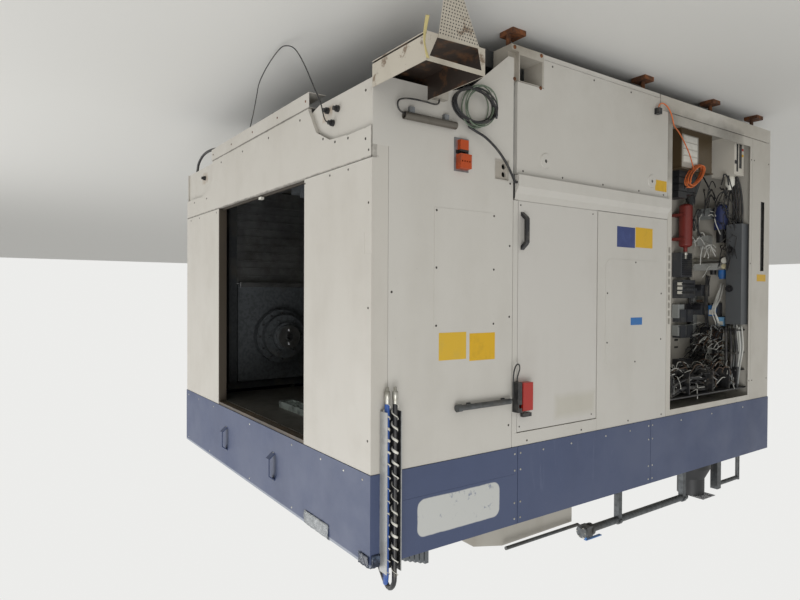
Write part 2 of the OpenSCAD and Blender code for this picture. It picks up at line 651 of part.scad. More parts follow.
board_b = wall_b - board_t;
module air_service_unit() color([0.2, 0.35, 0.6]) at_corner() {
    // Regulators with round caps on a manifold
    box([170, board_b - 60, 1290], [470, board_b, 1350]);
    rod_z([215, board_b - 45, 1350], 70, 62);
    rod_z([215, board_b - 45, 1412], 56, 16);
    rod_z([300, board_b - 40, 1350], 50, 40);
    rod_y([182, board_b - 92, 1320], 44, 32);
    rod_x([470, board_b - 30, 1320], 26, 20);
    // Filter head and its bowl
    rod_z([225, board_b - bowl_d / 2 - 4, 1000], 74, 110);
    rod_z([225, board_b - bowl_d / 2 - 4, 800], bowl_d, 200);
    translate([225, board_b - bowl_d / 2 - 4, 800]) rotate([180, 0, 0]) cylinder(d1 = bowl_d, d2 = bowl_d - 40, h = 20, $fn = 40);
    box([205, board_b - 40, 1020], [245, board_b, 1090]);
    // Small pump motor beside the bowl
    rod_x([296, board_b - 70, 850], 84, 120);
    box([316, board_b - 60, 800], [396, board_b, 826]);
    // Valve block with fittings
    box([330, board_b - 70, 1040], [430, board_b, 1130]);
    for (i = [0 : 3]) rod_z([345 + i * 24, board_b - 36, 1130], 14, 30);
    rod_x([430, board_b - 40, 1085], 20, 56);
}

tank_b = [cab_b + 428, cab_b + 893];
tank_h1 = 555;
module hydraulic_unit() color([0.36, 0.31, 0.2]) at_corner() {
    tank_h0 = 240 + sheet;
    box([150, tank_b[0], tank_h0], [420, tank_b[1], tank_h1]);
    box([140, tank_b[0] - 8, tank_h1], [430, tank_b[1] + 8, tank_h1 + 8]);
    for (i = [0 : 3]) box([147, tank_b[0] + 30, tank_h0 + 60 + i * 54], [150, tank_b[0] + 235, tank_h0 + 106 + i * 54]);
    // Pump motor and valve stack on the lid
    rod_z([300, tank_b[0] + 345, tank_h1 + 8], 150, 150);
    rod_z([300, tank_b[0] + 345, tank_h1 + 158], 110, 18);
    for (i = [0 : 3]) box([200 + i * 2, tank_b[0] + 65, tank_h1 + 8 + i * 56],
        [320 - i * 2, tank_b[0] + 185, tank_h1 + 58 + i * 56]);
    box([215, tank_b[0] + 75, tank_h1 + 8], [305, tank_b[0] + 175, tank_h1 + 220]);
    // White service box beside the tank
    box([40, wall_b - 223, tank_h0], [230, wall_b - 63, 560]);
    box([38, wall_b - 183, tank_h0 + 60], [40, wall_b - 161, 530]);
}

accu = [400, cab_b + 943];
module accumulator() color([0.42, 0.14, 0.12]) at_corner() {
    rod_z([accu[0], accu[1], 800], accu_d, 330);
    for (h = [[1130, 1], [800, -1]]) translate([accu[0], accu[1], h[0]]) scale([1, 1, 0.5]) intersection() {
        sphere(d = accu_d, $fn = 40);
        translate([0, 0, h[1] * accu_d / 2]) cube(accu_d + 1, center = true);
    }
    rod_z([accu[0], accu[1], 1150], 34, 44);
    // Two clamps to the board
    for (h = [860, 1070]) difference() {
        box([accu[0] - 20, accu[1] - accu_d / 2 - 8, h], [back_a - board_t, accu[1] + accu_d / 2 + 8, h + 24]);
        rod_z([accu[0], accu[1], h - 1], accu_d - 0.2, 26);
    }
}

module control_modules() color([0.3, 0.31, 0.32]) at_corner() {
    // Two finned connector stacks
    for (a = [215, 330]) {
        box([a, board_b - 60, 1860], [a + 68, board_b, 2235]);
        for (i = [0 : 14]) box([a + 4, board_b - 78, 1868 + i * 24.5], [a + 64, board_b - 60, 1880 + i * 24.5]);
    }
    // Relays and drives in rows
    for (h = [1480, 1645]) box([352, board_b - 70, h], [452, board_b, h + 100]);
    box([236, board_b - 60, 1640], [300, board_b, 1760]);
    box([168, board_b - 50, 1756], [226, board_b, 1836]);
    for (i = [0 : 1]) for (h = [1700, 1840, 2140])
        box([back_a - 80, wall_b - 353 + i * 110, h], [back_a - board_t, wall_b - 269 + i * 110, h + 110]);
    box([back_a - 100, wall_b - 363, 1440], [back_a - board_t, wall_b - 163, 1600]);
    for (i = [0 : 4]) rod_x([back_a - 130, wall_b - 333 + i * 34, 1520], 22, 30);
}

// Looms of wire at the top and left of the cabinet
module cabinet_wiring() color(dark) at_corner() {
    for (i = [0 : 6]) tube([[60 + i * 40, opening_b[0] + 60 + (i % 3) * 30, 2330 - (i % 2) * 60],
        [70 + i * 42, cab_b + 393, 2290 - (i % 3) * 50], [90 + i * 40, cab_b + 743, 2340 - (i % 4) * 46],
        [110 + i * 34, cab_b + 1003, 2260 - (i % 3) * 44], [130 + i * 30, cab_b + 1143, 2325 - (i % 2) * 52]], 30, 8, 3);
    for (i = [0 : 2]) tube([[60 + i * 30, cab_b + 1143 - i * 18, 2235], [48 + i * 34, cab_b + 1133 - i * 18, 2060],
        [70 + i * 30, cab_b + 1143 - i * 14, 1850]], 24, 8, 4);
    // Tray along the top with the combs that carry the looms
    box([30, opening_b[0], 2352], [back_a - 24, wall_b - 4, 2362]);
    for (b = [143, 388, 739, 999]) box([40, cab_b + b, 2180], [440, cab_b + b + 8, 2353]);
    box([40, wall_b - 139, 2180], [440, wall_b - 107, 2353]);
    for (h = [1862, 2056, 2200]) box([44, wall_b - 163, h], [140, wall_b, h + 12]);
}

// Front: panels, opening, skirt and corners

module front_panels() color(white) {
    // Left panel, folded round the corner in one piece
    at_front() difference() {
        box([0, corner_step_h, 0], [open_a - seam, panel_top, corner_w]);
        box([sheet, corner_step_h - 1, sheet], [open_a, panel_top + 1, corner_w + 1]);
        box([-1, corner_step_h - 1, -1], [open_a, sill_h + seam / 2, sheet + 0.01]);
        box([0, 1264, -1], [65, 1372, 1]);
    }
    // Right panel
    at_front() difference() {
        box([open_a1 + seam, corner_step_h, 0], [front_w, panel_top, corner_w]);
        box([open_a1, corner_step_h - 1, sheet], [front_w - sheet, panel_top + 1, corner_w + 1]);
        box([open_a1, corner_step_h - 1, -1], [front_w + 1, sill_h + seam / 2, sheet + 0.01]);
    }
}

module opening_frame() color([0.62, 0.56, 0.46]) at_front() {
    a0 = open_a - 40;
    a1 = open_a1 + 40;
    // Left and right linings, lintel and sill, each a folded strip behind the panels
    box([a0, sill_h, sheet], [open_a, panel_top - 20, sheet + jamb_d]);
    box([open_a1, sill_h, sheet], [a1, panel_top - 20, sheet + jamb_d]);
    box([a0, panel_top - 20, sheet], [a1, band_h0, sheet + jamb_d]);
    box([a0, sill_h - 40, sheet + 22.4], [a1, sill_h, sheet + jamb_d]);
    // Door track along the sill
    box([open_a + 2, sill_h, sheet + 30], [open_a1 - 2, sill_h + 10, sheet + 42]);
}

skirt_h0 = 490;
notch_h = 742;
notch_a = front_w - 724;
module skirt_sheet() at_front() {
    linear_extrude(sheet) polygon([[4, sill_h - seam / 2], [front_w - 4, sill_h - seam / 2], [front_w - 4, notch_h],
        [front_w - 165, 739], [front_w - 447, 748], [front_w - 588, 719], [front_w - 722, 647], [notch_a, skirt_h0],
        [697, skirt_h0], [697, 504],
        [593, 656], [434, 729], [250, notch_h], [4, notch_h]]);
    // Folded top edge and the cheeks of the notches
    box([4, sill_h - seam / 2 - sheet, 0], [front_w - 4, sill_h - seam / 2, 22]);
    linear_extrude(22) {
        polygon([[697, skirt_h0], [700, skirt_h0], [700, 505], [595.5, 658.5], [593, 656], [697, 504]]);
        polygon([[notch_a, skirt_h0], [notch_a + 3, skirt_h0], [notch_a + 3, 646], [notch_a, 646]]);
    }
    box([697, skirt_h0, 0], [notch_a, skirt_h0 + sheet, 22]);
}

module front_rail() at_front(4) difference() {
    box([697, 396, 0], [front_w - 690, 486, 110]);
    box([696, 399, 3], [front_w - 689, 483, 111]);
}

corner_inset = 22;
module front_corner_panels() at_front(corner_inset) {
    linear_extrude(sheet) polygon([[4, 497], [600, 497], [694, 520], [694, 833], [4, 833]]);
    linear_extrude(sheet) polygon([[front_w - 720, 497], [front_w - 4, 497], [front_w - 4, 833],
        [front_w - 720, 833]]);
    // Folded lower edges
    box([4, 497, sheet], [600, 500, 90]);
    box([front_w - 720, 497, sheet], [front_w - 4, 500, 90]);
    // Cable connectors on the left and right
    for (c = [[374, 571], [489, 555], [430, 636], [front_w - 469, 592]]) {
        translate([c[0], c[1], -18]) cylinder(d = 36, h = 18, $fn = 32);
        translate([c[0], c[1], -34]) cylinder(d = 24, h = 16, $fn = 32);
    }
}

module front_skirt() color(white) {
    skirt_sheet();
    front_rail();
    front_corner_panels();
}

// Band round the top with its handles

band_seams = [1019, 2364];
module band_panels() color(blue) {
    at_side(-4) difference() {
        pan(0, band_h0, band_seams[0] - seam / 2, top_h, fold + 4);
        box([153, 2621, -1], [band_seams[0] - 16, 2624, 1]);
    }
    at_side(-4) pan(band_seams[0] + seam / 2, band_h0, band_seams[1] - seam / 2, top_h, fold + 4);
    at_side(-4) pan(band_seams[1] + seam / 2, band_h0, side_l, top_h, fold + 4);
    at_far_side(-4) pan(0, band_h0, 2080 - seam / 2, top_h, fold + 4);
    at_far_side(-4) pan(2080 + seam / 2, band_h0, side_l, top_h, fold + 4);
    at_front(-4) translate([-4, 0, 0]) difference() {
        box([0, band_h0, 0], [front_w + 8, top_h, fold + 4]);
        box([sheet, band_h0 + sheet, sheet], [front_w + 8 - sheet, top_h - sheet, fold + 5]);
        // Room for the side bands behind the front band's folds
        for (a = [-1, front_w + 4 - fold]) box([a, band_h0 - 1, 3.98], [a + fold + 5, top_h + 1, fold + 5]);
    }
}

handle_a = [1178, 2086];
handle_h = [2606, 2790];
module band_handles() color(blue) at_front(-4) for (a = handle_a) translate([a - 24, 0, 0]) rotate([0, 90, 0])
    linear_extrude(48) polygon([[0, handle_h[0]], [44, handle_h[0] + 36], [44, handle_h[1] - 36], [0, handle_h[1]],
        [0, handle_h[1] - 9], [37, handle_h[1] - 40], [37, handle_h[0] + 40], [0, handle_h[0] + 9]]);

// Hidden sides and roof

module rear_and_far_panels() {
    edge = fold + 1;
    at_rear() pan(edge, 240, hw - seam / 2, top_h - 2);
    at_rear() pan(hw + seam / 2, 240, front_w - edge, top_h - 2);
    at_rear() pan(edge, 125, front_w - edge, 236);
    far = [corner_w + seam / 2, door_post_b + 35, 1787, 2525, side_l - fold - 1];
    // The second panel ends above the fork tunnel, and a smaller one closes the rest below it
    far_h = [500, pocket_h[1] + 20, 240, 240];
    for (i = [0 : 3]) at_far_side() pan(far[i] + (i == 0 ? 0 : seam / 2), far_h[i], far[i + 1] - seam / 2, panel_top);
    at_far_side() pan(beam_b0 + 2, 240, far[2] - seam / 2, far_h[1] - seam);
    at_far_side() box([9, 500, 0], [far[0] - 0.3, corner_step_h - 2, sheet]);
    at_far_side() pan(beam_b0 + 2, 125, side_l - fold - 1, 236);
}

module roof_panels() at_corner() {
    roof_b = [fold + 8, 1430, 2810, side_l - fold - 5];
    for (i = [0 : 2]) box([fold + 2, roof_b[i] + 2, roof_h], [front_w - fold - 2, roof_b[i + 1] - 2, roof_h + sheet]);
}

module plain_panels() color(white) {
    rear_and_far_panels();
    roof_panels();
}

roof_top = roof_h + sheet;
pipe_h = roof_top + pipe_rise;
pipe_b1 = side_l - 1050;
blower_b = side_l - 830;
module roof_hood() color(galvanised) at_corner() {
    // Sloped hood of the mist extractor
    translate([200, 0, 0]) rotate([90, 0, 90]) linear_extrude(620)
        polygon([[700, roof_top], [1760, roof_top], [1760, roof_top + 247], [1100, roof_top + 257],
        [860, roof_top + 207], [700, roof_top + 102]]);
    // Ribbed housing near the front corner
    for (i = [0 : 6]) box([150, 250 + i * 34, roof_top], [420, 276 + i * 34, roof_top + 117 + i * 12]);
    box([160, 250, roof_top], [410, 480, roof_top + 102]);
    // Round blower housing at the rear
    rod_z([230, blower_b, roof_top], 300, 120);
    translate([230, blower_b, roof_top + 120]) cylinder(d1 = 300, d2 = 210, h = 90, $fn = 48);
    rod_z([230, blower_b, roof_top + 210], 210, 130);
}

module roof_pipework() color(galvanised) at_corner() {
    lever_gap = 84;
    difference() {
        union() {
            rod_y([pipe_a, 1900, pipe_h], pipe_d, pipe_b1 - 1900);
            rod_y([pipe_a, 1880, pipe_h], pipe_d + 34, 22);
            rod_y([pipe_a, 1800, pipe_h], pipe_d + 34, 22);
            box([pipe_a - 34, 1820, pipe_h - 34], [pipe_a + 34, 1882, pipe_h + 34]);
        }
        rod_z([pipe_a, 1850, pipe_h + 10], 16.1, 40);
    }
    rod_y([pipe_a, 1080, pipe_h - 60], 22, 680);
    translate([pipe_a, 1760, pipe_h - 60]) rotate([-56.3, 0, 0]) cylinder(d = 22, h = 72, $fn = 24);
    // Posts with clamps
    for (b = [2210, pipe_b1 - 50]) {
        difference() {
            box([pipe_a - 20, b - 20, roof_top], [pipe_a + 20, b + 20, pipe_h - 6]);
            rod_y([pipe_a, b - 21, pipe_h], pipe_d + joint, 42);
        }
        difference() {
            rod_y([pipe_a, b - 14, pipe_h], pipe_d + 16, 28);
            rod_y([pipe_a, b - 15, pipe_h], pipe_d + joint, 30);
            box([pipe_a - 50, b - 20, pipe_h - 60], [pipe_a + 50, b + 20, pipe_h - 6 + joint]);
        }
    }
    // Branch that drops through the roof at the rear
    rod_y([pipe_a, side_l - 590, pipe_h - 10], 34, 380);
    rod_z([pipe_a, side_l - 210, roof_top], 34, pipe_rise + 7);
    rod_z([pipe_a, side_l - 210, roof_top], 60, 14);
    box([pipe_a - 30, side_l - 610, roof_top], [pipe_a + 30, side_l - 550, pipe_h + 20]);
}

module valve_lever() color([0.2, 0.3, 0.55]) at_corner() {
    rod_z([pipe_a, 1850, pipe_h + 12], 16, 50);
    box([pipe_a - 11, 1842, pipe_h + 62], [pipe_a + 11, 2010, pipe_h + 68]);
}

module hose_duct() color(galvanised) {
    // Open channel at the near corner with two hose ends
    at_side(-66) difference() {
        box([52, 2150, 0], [142, 2945, 62]);
        box([56, 2149, -1], [138, 2946, 57]);
        for (i = [0 : 12]) translate([97, 2190 + i * 58, 50]) cylinder(d = 12, h = 14, $fn = 20);
    }
    at_side(-4) for (h = [2180, 2420]) box([60, h, 0], [134, h + 30, 4]);
}

hose_d = 26;
hose_routes = [
    [[-27, 78, 2112], [-27, 78, 2400], [-27, 78, 2700], [-27, 78, 2930], [-16, 84, 2990], [30, 110, 3030],
        [110, 160, 3000], [190, 196, 2952], [190, 222, 2952], [190, 249.7, 2952]],
    [[-42, 116, 2112], [-42, 116, 2400], [-42, 116, 2700], [-42, 116, 2930], [-30, 120, 3020], [50, 140, 3070],
        [170, 170, 3020], [270, 196, 2957], [270, 222, 2957], [270, 249.7, 2957]]
];
module duct_hoses() color([0.2, 0.3, 0.5]) at_corner() for (route = hose_routes) {
    tube(route, hose_d, 10, 3);
    // Metal hose end
    rod_z([route[0][0], route[0][1], 2052], hose_d + 4, 64);
    rod_z([route[0][0], route[0][1], 2030], 16, 22);
}

// Chip tray with its outlet and chute
tray_t = 4;
tray_floor = 440;
module chip_tray() color(rust) at_corner() {
    // Walls of the open trough
    box([-tray_out, 0, tray_floor + 10], [0, tray_t, tray_rim]);
    box([-tray_out, tray_l, tray_floor], [0, tray_l + tray_t, tray_rim]);
    translate([-tray_out, 0, 0]) rotate([90, 0, 90]) linear_extrude(tray_t) difference() {
        translate([tray_t, tray_floor - 4]) square([tray_l - tray_t, tray_rim - tray_floor + 4]);
        polygon([[20, tray_rim - 22], [tray_l - 16, tray_rim - 22], [tray_l - 40, tray_floor + 4], [62, tray_floor + 12]]);
    }
    // Inner trough that runs under the side panel
    box([0, 120, tray_floor - tray_t], [620, tray_l + tray_t, tray_floor]);
    box([0, 116, tray_floor - tray_t], [620, 120, 486]);
    box([0, tray_l, tray_floor - tray_t], [620, tray_l + tray_t, 486]);
    box([600, 120, tray_floor], [620, tray_l, 500]);
    box([-tray_out, 0, tray_floor - tray_t], [0, tray_l + tray_t, tray_floor]);
    // Hangers from the bed
    for (b = [140, 300]) box([590, b, 486], [644, b + 30, 500]);
    // Chute plate that narrows downwards
    translate([-tray_out - 3, 0, 0]) rotate([90, 0, 90]) linear_extrude(3)
        polygon([[66, tray_floor + 12], [tray_l - 34, tray_floor + 2], [176, 180], [110, 180]]);
}

// Free leads and cables, each through points chosen by hand

front_loop_points = [[430, -13.4, 636], [431, -24, 632], [446, -30, 604], [496, -26, 510], [591, -20, 396],
    [712, -20, 235], [835, -20, 109], [964, -18, 46], [1079, -14, 30], [1279, -4, 62], [1489, 20, 112],
    [1602, 44, 172], [1690, 56, 262], [1770, 60, 360], [1786, 60, 395.5]];
module front_loop_cord() color(dark) at_corner() tube(front_loop_points, 7, 8, 4);

switch_points = [[-22, 992, 2079.6], [-22, 994, 2050], [-30, 1003, 2005], [-36, 990, 1976], [-38, 966, 1980],
    [-34, 952, 2020], [-28, 952, 2090], [-27, 956, 2145], [-27, 951, 2174], [-27, 930.5, 2185]];
module switch_cord() color(dark) at_corner() translate([0, 0, switch_h1 - 2256]) tube(switch_points, 8, 8, 3);

ledge_cord_points = [[-17, 984.6, 920], [-18, 965, 917], [-30, 932, 890], [-38, 890, 845], [-40, 847, 800],
    [-40, 790, 752], [-38, 715, 706], [-30, 655, 682], [-21, 625, 666], [-20, 613, 662], [-20, 613, 652.2]];
module ledge_cord() color(dark) at_corner() tube(ledge_cord_points, 14, 8, 3);

// Ring with round ends: half its length, half its height and the width of its band
module ring2(half_l, half_h, band) difference() {
    round_bar(half_l, half_h);
    round_bar(half_l - band, half_h - band);
}
module round_bar(half_l, half_h) {
    square([2 * (half_l - half_h), 2 * half_h], center = true);
    for (s = [-1, 1]) translate([s * (half_l - half_h), 0]) circle(r = half_h, $fn = 48);
}
module bundle_coil() color(dark) at_side(-37) translate([640, 557, 0]) linear_extrude(36.7) ring2(156, 94, 46);

tube_cord_points = [[-21, 240, 660], [-22, 190, 661], [-28, 150, 658], [-34, 128, 635], [-35, 138, 605],
    [-34, 200, 588], [-30, 300, 584], [-25, 368, 584], [-20, 398, 572], [-20, 402, 552.4]];
module tube_cord() color(dark) at_corner() tube(tube_cord_points, 9, 8, 3);

orange = [0.85, 0.38, 0.15];
module orange_coil() color(orange) at_side(100) translate([cab_b + 603, 610, 0]) rotate(142.8)
    linear_extrude(39.7) ring2(170, 60, 36);

orange_points = [[120, 3123.7, 561.6], [120, 3100, 528], [112, 3040, 455], [95, 2930, 376], [60, 2800, 334],
    [25, 2690, 322], [0, 2628, 319], [-14, 2590, 292], [-17, 2560, 248], [-17, 2520, 212], [-18, 2470, 196],
    [-19, 2425, 202], [-20, 2402, 224], [-20, 2398, 239.6]];
module orange_lead() color(orange) at_corner() translate([0, cab_b - 2557, 0]) tube(orange_points, 9, 8, 3);

module lead_socket() color(dark) at_side(-36) difference() {
    box([cab_b - 179, 240, 0], [cab_b - 139, 282, 36]);
    for (x = [cab_b - 171, cab_b - 159, cab_b - 147]) translate([x, 270, -1]) cylinder(d = 6, h = 10, $fn = 20);
}

far_loop_points = [[3060, 60, 496.6], [3060, 60, 482], [3060, 60, 466], [3000, 54, 410], [2860, 50, 365], [2700, 60, 350],
    [2560, 96, 352], [2470, 136, 380], [2412, 180, 440], [2408, 190, 470], [2408, 190, 485], [2408, 190, 499.6]];
module far_loop_cord() color(dark) at_corner() translate([front_w - 3170, 0, 0]) tube(far_loop_points, 22, 10, 4);

strap_points = [[-435.5, 8, 555], [-437, -6, 520], [-438, -14, 484], [-437, -8, 430], [-436, 4, 372]];
module tray_strap() color([0.85, 0.8, 0.55]) at_corner() tube(strap_points, 10, 8, 4);

levelling_feet();
base_beams();
corner_blocks();
enclosure_frame();
machine_bed();
chamber_lining();
work_lamp();
column();
lower_way_cover();
spindle_head();
spindle();
table_saddle();
pallet_table();
rotary_pallet();
near_side_panel();
screwed_covers();
connector_plate();
side_panels();
drip_ledge();
door_frame();
side_door();
door_handle();
pivot_pins();
switch_body();
switch_key();
switch_bolt();
cable_conduit();
cabinet_surround();
cabinet_shell();
cabinet_boards();
terminal_box();
selector_knob_1();
selector_knob_2();
air_service_unit();
hydraulic_unit();
accumulator();
control_modules();
cabinet_wiring();
front_panels();
opening_frame();
front_skirt();
band_panels();
band_handles();
plain_panels();
roof_hood();
roof_pipework();
valve_lever();
hose_duct();
duct_hoses();
chip_tray();
front_loop_cord();
switch_cord();
ledge_cord();
bundle_coil();
tube_cord();
orange_coil();
orange_lead();
lead_socket();
far_loop_cord();
tray_strap();
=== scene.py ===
# %% [markdown]
# # A used CNC machining center, dressed for a picture
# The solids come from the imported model. This file gives them paint, dirt, wiring, screws and labels.
# All places are given in millimetres: a along the front, b from the front to the rear, h above the floor.

# %% Load the frame
import math
import random
import bpy
import bmesh
from mathutils import Matrix, Vector


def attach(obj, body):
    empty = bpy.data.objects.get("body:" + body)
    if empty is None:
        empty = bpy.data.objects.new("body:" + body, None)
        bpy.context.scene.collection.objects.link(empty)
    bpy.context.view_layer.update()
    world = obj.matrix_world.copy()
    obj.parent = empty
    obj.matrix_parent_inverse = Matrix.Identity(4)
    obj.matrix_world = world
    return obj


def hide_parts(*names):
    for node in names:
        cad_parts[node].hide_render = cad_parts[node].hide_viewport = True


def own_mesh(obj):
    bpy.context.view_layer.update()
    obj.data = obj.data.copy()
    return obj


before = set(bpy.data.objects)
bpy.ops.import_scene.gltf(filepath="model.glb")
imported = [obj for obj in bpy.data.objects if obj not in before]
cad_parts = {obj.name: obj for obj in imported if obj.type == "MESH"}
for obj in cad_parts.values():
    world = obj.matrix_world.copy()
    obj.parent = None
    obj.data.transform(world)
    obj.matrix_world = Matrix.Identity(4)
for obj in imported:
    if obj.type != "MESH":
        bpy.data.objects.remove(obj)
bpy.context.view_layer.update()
print("nodes:", len(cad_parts))


def place(a, b, h):
    """A point of the enclosure in millimetres, as a point of the row frame in metres."""
    return Vector(((a - 1585) / 1000, (b - 2540) / 1000, h / 1000))


# %% [markdown]
# ## Camera
# The photograph was taken by a person standing off the near corner, and it is upside down.
# The camera stands where that person stood and is rolled half a turn, so its picture lines up with it.

# %% Camera
focal_px, picture_w = 602.96, 800
across = Vector((0.57323632, -0.8193751, 0.00495666))
down = Vector((0.0128727, 0.00295697, -0.99991277))
ahead = Vector((0.81928897, 0.57325013, 0.01224261))
camera = bpy.data.objects.new("camera", bpy.data.cameras.new("camera"))
camera.data.sensor_width = 36
camera.data.lens = focal_px / picture_w * camera.data.sensor_width
camera.data.clip_end = 60
camera.matrix_world = Matrix((
    (-across.x, down.x, -ahead.x, -4.0852),
    (-across.y, down.y, -ahead.y, -4.1178),
    (-across.z, down.z, -ahead.z, 1.5630),
    (0, 0, 0, 1)))
bpy.context.scene.collection.objects.link(camera)
bpy.context.scene.camera = camera
print("focal length:", round(camera.data.lens, 2), "mm")

# %% [markdown]
# ## Helpers for finishes
# A finish is a small tree of nodes on the Principled shader. Colours are written as sRGB hex values,
# because that is how a paint chart or a picture gives them, and one function turns them to linear.


# %% Colour and node helpers
def colour(text):
    """An sRGB hex value as linear red, green, blue and alpha."""
    parts = [int(text[i:i + 2], 16) / 255 for i in (1, 3, 5)]
    return (*[c / 12.92 if c <= 0.04045 else ((c + 0.055) / 1.055) ** 2.4 for c in parts], 1)


def node(tree, kind, settings=None, links=None):
    """Adds one node, sets its properties or inputs, and links sources to its inputs."""
    made = tree.nodes.new(kind)
    for key, value in (settings or {}).items():
        if isinstance(key, str) and hasattr(made, key):
            setattr(made, key, value)
        else:
            made.inputs[key].default_value = value
    for key, source in (links or {}).items():
        tree.links.new(source, made.inputs[key])
    return made


def new_finish(name, metallic, roughness, paint="#808080"):
    """A material, and its coat: its node tree, its shader and the point that its patterns read."""
    finish = bpy.data.materials.new(name)
    finish.use_nodes = True
    shader = finish.node_tree.nodes["Principled BSDF"]
    shader.inputs["Metallic"].default_value = metallic
    shader.inputs["Roughness"].default_value = roughness
    shader.inputs["Base Color"].default_value = colour(paint)
    spot = node(finish.node_tree, "ShaderNodeTexCoord").outputs["Object"]
    return finish, (finish.node_tree, shader, spot)


def clouds(coat, cloud, ramp=None, stretch=None):
    """Cloudy noise, about 0.5 on average. A cloud is its number in a metre, its detail and its roughness.

    With a ramp it is 0 below the ramp's low value and the ramp's top value above its high one.
    """
    tree, _, spot = coat
    if stretch:
        spot = node(tree, "ShaderNodeMapping", {"Scale": stretch}, {"Vector": spot}).outputs[0]
    scale, detail, rough = cloud
    value = node(tree, "ShaderNodeTexNoise", {"Scale": scale, "Detail": detail, "Roughness": rough},
                 {"Vector": spot}).outputs[0]
    if ramp:
        low, high, top = ramp
        value = node(tree, "ShaderNodeMapRange", {"From Min": low, "From Max": high, "To Max": top},
                     {"Value": value}).outputs[0]
    return value


def lay_over(coat, masks, paint, strength=1.0):
    """Lays a colour over what Base Color shows now, where the product of the masks is 1."""
    tree, shader, _ = coat
    share = node(tree, "ShaderNodeMath", {"operation": "MULTIPLY", 1: strength}, {0: masks[0]}).outputs[0]
    for mask in masks[1:]:
        share = node(tree, "ShaderNodeMath", {"operation": "MULTIPLY"}, {0: share, 1: mask}).outputs[0]
    old = shader.inputs["Base Color"]
    mixed = node(tree, "ShaderNodeMix", {"data_type": "RGBA", 7: colour(paint)}, {0: share})
    if old.is_linked:
        tree.links.new(old.links[0].from_socket, mixed.inputs[6])
    else:
        mixed.inputs[6].default_value = old.default_value
    tree.links.new(mixed.outputs[2], old)


def inside(coat, low, high, soft=10, ragged=0, grain=6, corner=0):
    """1 inside the box between two points in millimetres, with a soft, ragged and rounded edge."""
    tree, _, spot = coat
    low, high = place(*low), place(*high)
    centre, half = (low + high) / 2, (high - low) / 2 - Vector([corner / 1000] * 3)
    away = node(tree, "ShaderNodeVectorMath", {"operation": "SUBTRACT", 1: centre}, {0: spot}).outputs[0]
    away = node(tree, "ShaderNodeVectorMath", {"operation": "ABSOLUTE"}, {0: away}).outputs[0]
    away = node(tree, "ShaderNodeVectorMath", {"operation": "SUBTRACT", 1: half}, {0: away}).outputs[0]
    if corner:
        away = node(tree, "ShaderNodeVectorMath", {"operation": "MAXIMUM", 1: (0, 0, 0)},
                {0: away}).outputs[0]
        length = node(tree, "ShaderNodeVectorMath", {"operation": "LENGTH"}, {0: away}).outputs["Value"]
        depth = node(tree, "ShaderNodeMath", {"operation": "SUBTRACT", 1: corner / 1000},
                {0: length}).outputs[0]
    else:
        parts = node(tree, "ShaderNodeSeparateXYZ", None, {0: away}).outputs
        depth = parts[0]
        for part in parts[1:3]:
            depth = node(tree, "ShaderNodeMath", {"operation": "MAXIMUM"}, {0: depth, 1: part}).outputs[0]
    if ragged:
        depth = node(tree, "ShaderNodeMath", {"operation": "MULTIPLY_ADD", 1: ragged / 1000},
                     {0: clouds(coat, (grain, 6, 0.6)), 2: depth}).outputs[0]
    return node(tree, "ShaderNodeMapRange", {"From Min": soft / 1000, "From Max": 0.0},
            {"Value": depth}).outputs[0]


def smudge(coat, low, high, soft, ragged, grain, strength, paint):
    """A dirty place with a soft, ragged edge, as strong as it is told."""
    lay_over(coat, [inside(coat, low, high, soft, ragged, grain)], paint, strength)


def blotches(coat, cloud, ramp, paint):
    """Clouds of a colour: the noise's scale, detail and roughness, and its low, high and top value."""
    lay_over(coat, [clouds(coat, cloud, ramp)], paint)


def in_places(coat, regions):
    """Paints parts of one solid: each region is two corners in millimetres and a colour."""
    for low, high, paint in regions:
        lay_over(coat, [inside(coat, low, high, 0.5)], paint)


def uneven(coat, height, strength=0.2, distance=0.002):
    """Feeds a height pattern to the shader's bump."""
    tree, shader, _ = coat
    bump = node(tree, "ShaderNodeBump", {"Strength": strength, "Distance": distance}, {"Height": height})
    tree.links.new(bump.outputs[0], shader.inputs["Normal"])


# %% [markdown]
# ## Painted sheet steel
# The panels are bent from 3 mm steel sheet and sprayed with a semi-gloss warm white enamel.
# Years in a workshop leave cloudy grime, thin runs of dirty coolant and more dirt near the floor.
# Three noises do this: broad clouds, a noise stretched upright for the runs, and fine specks.


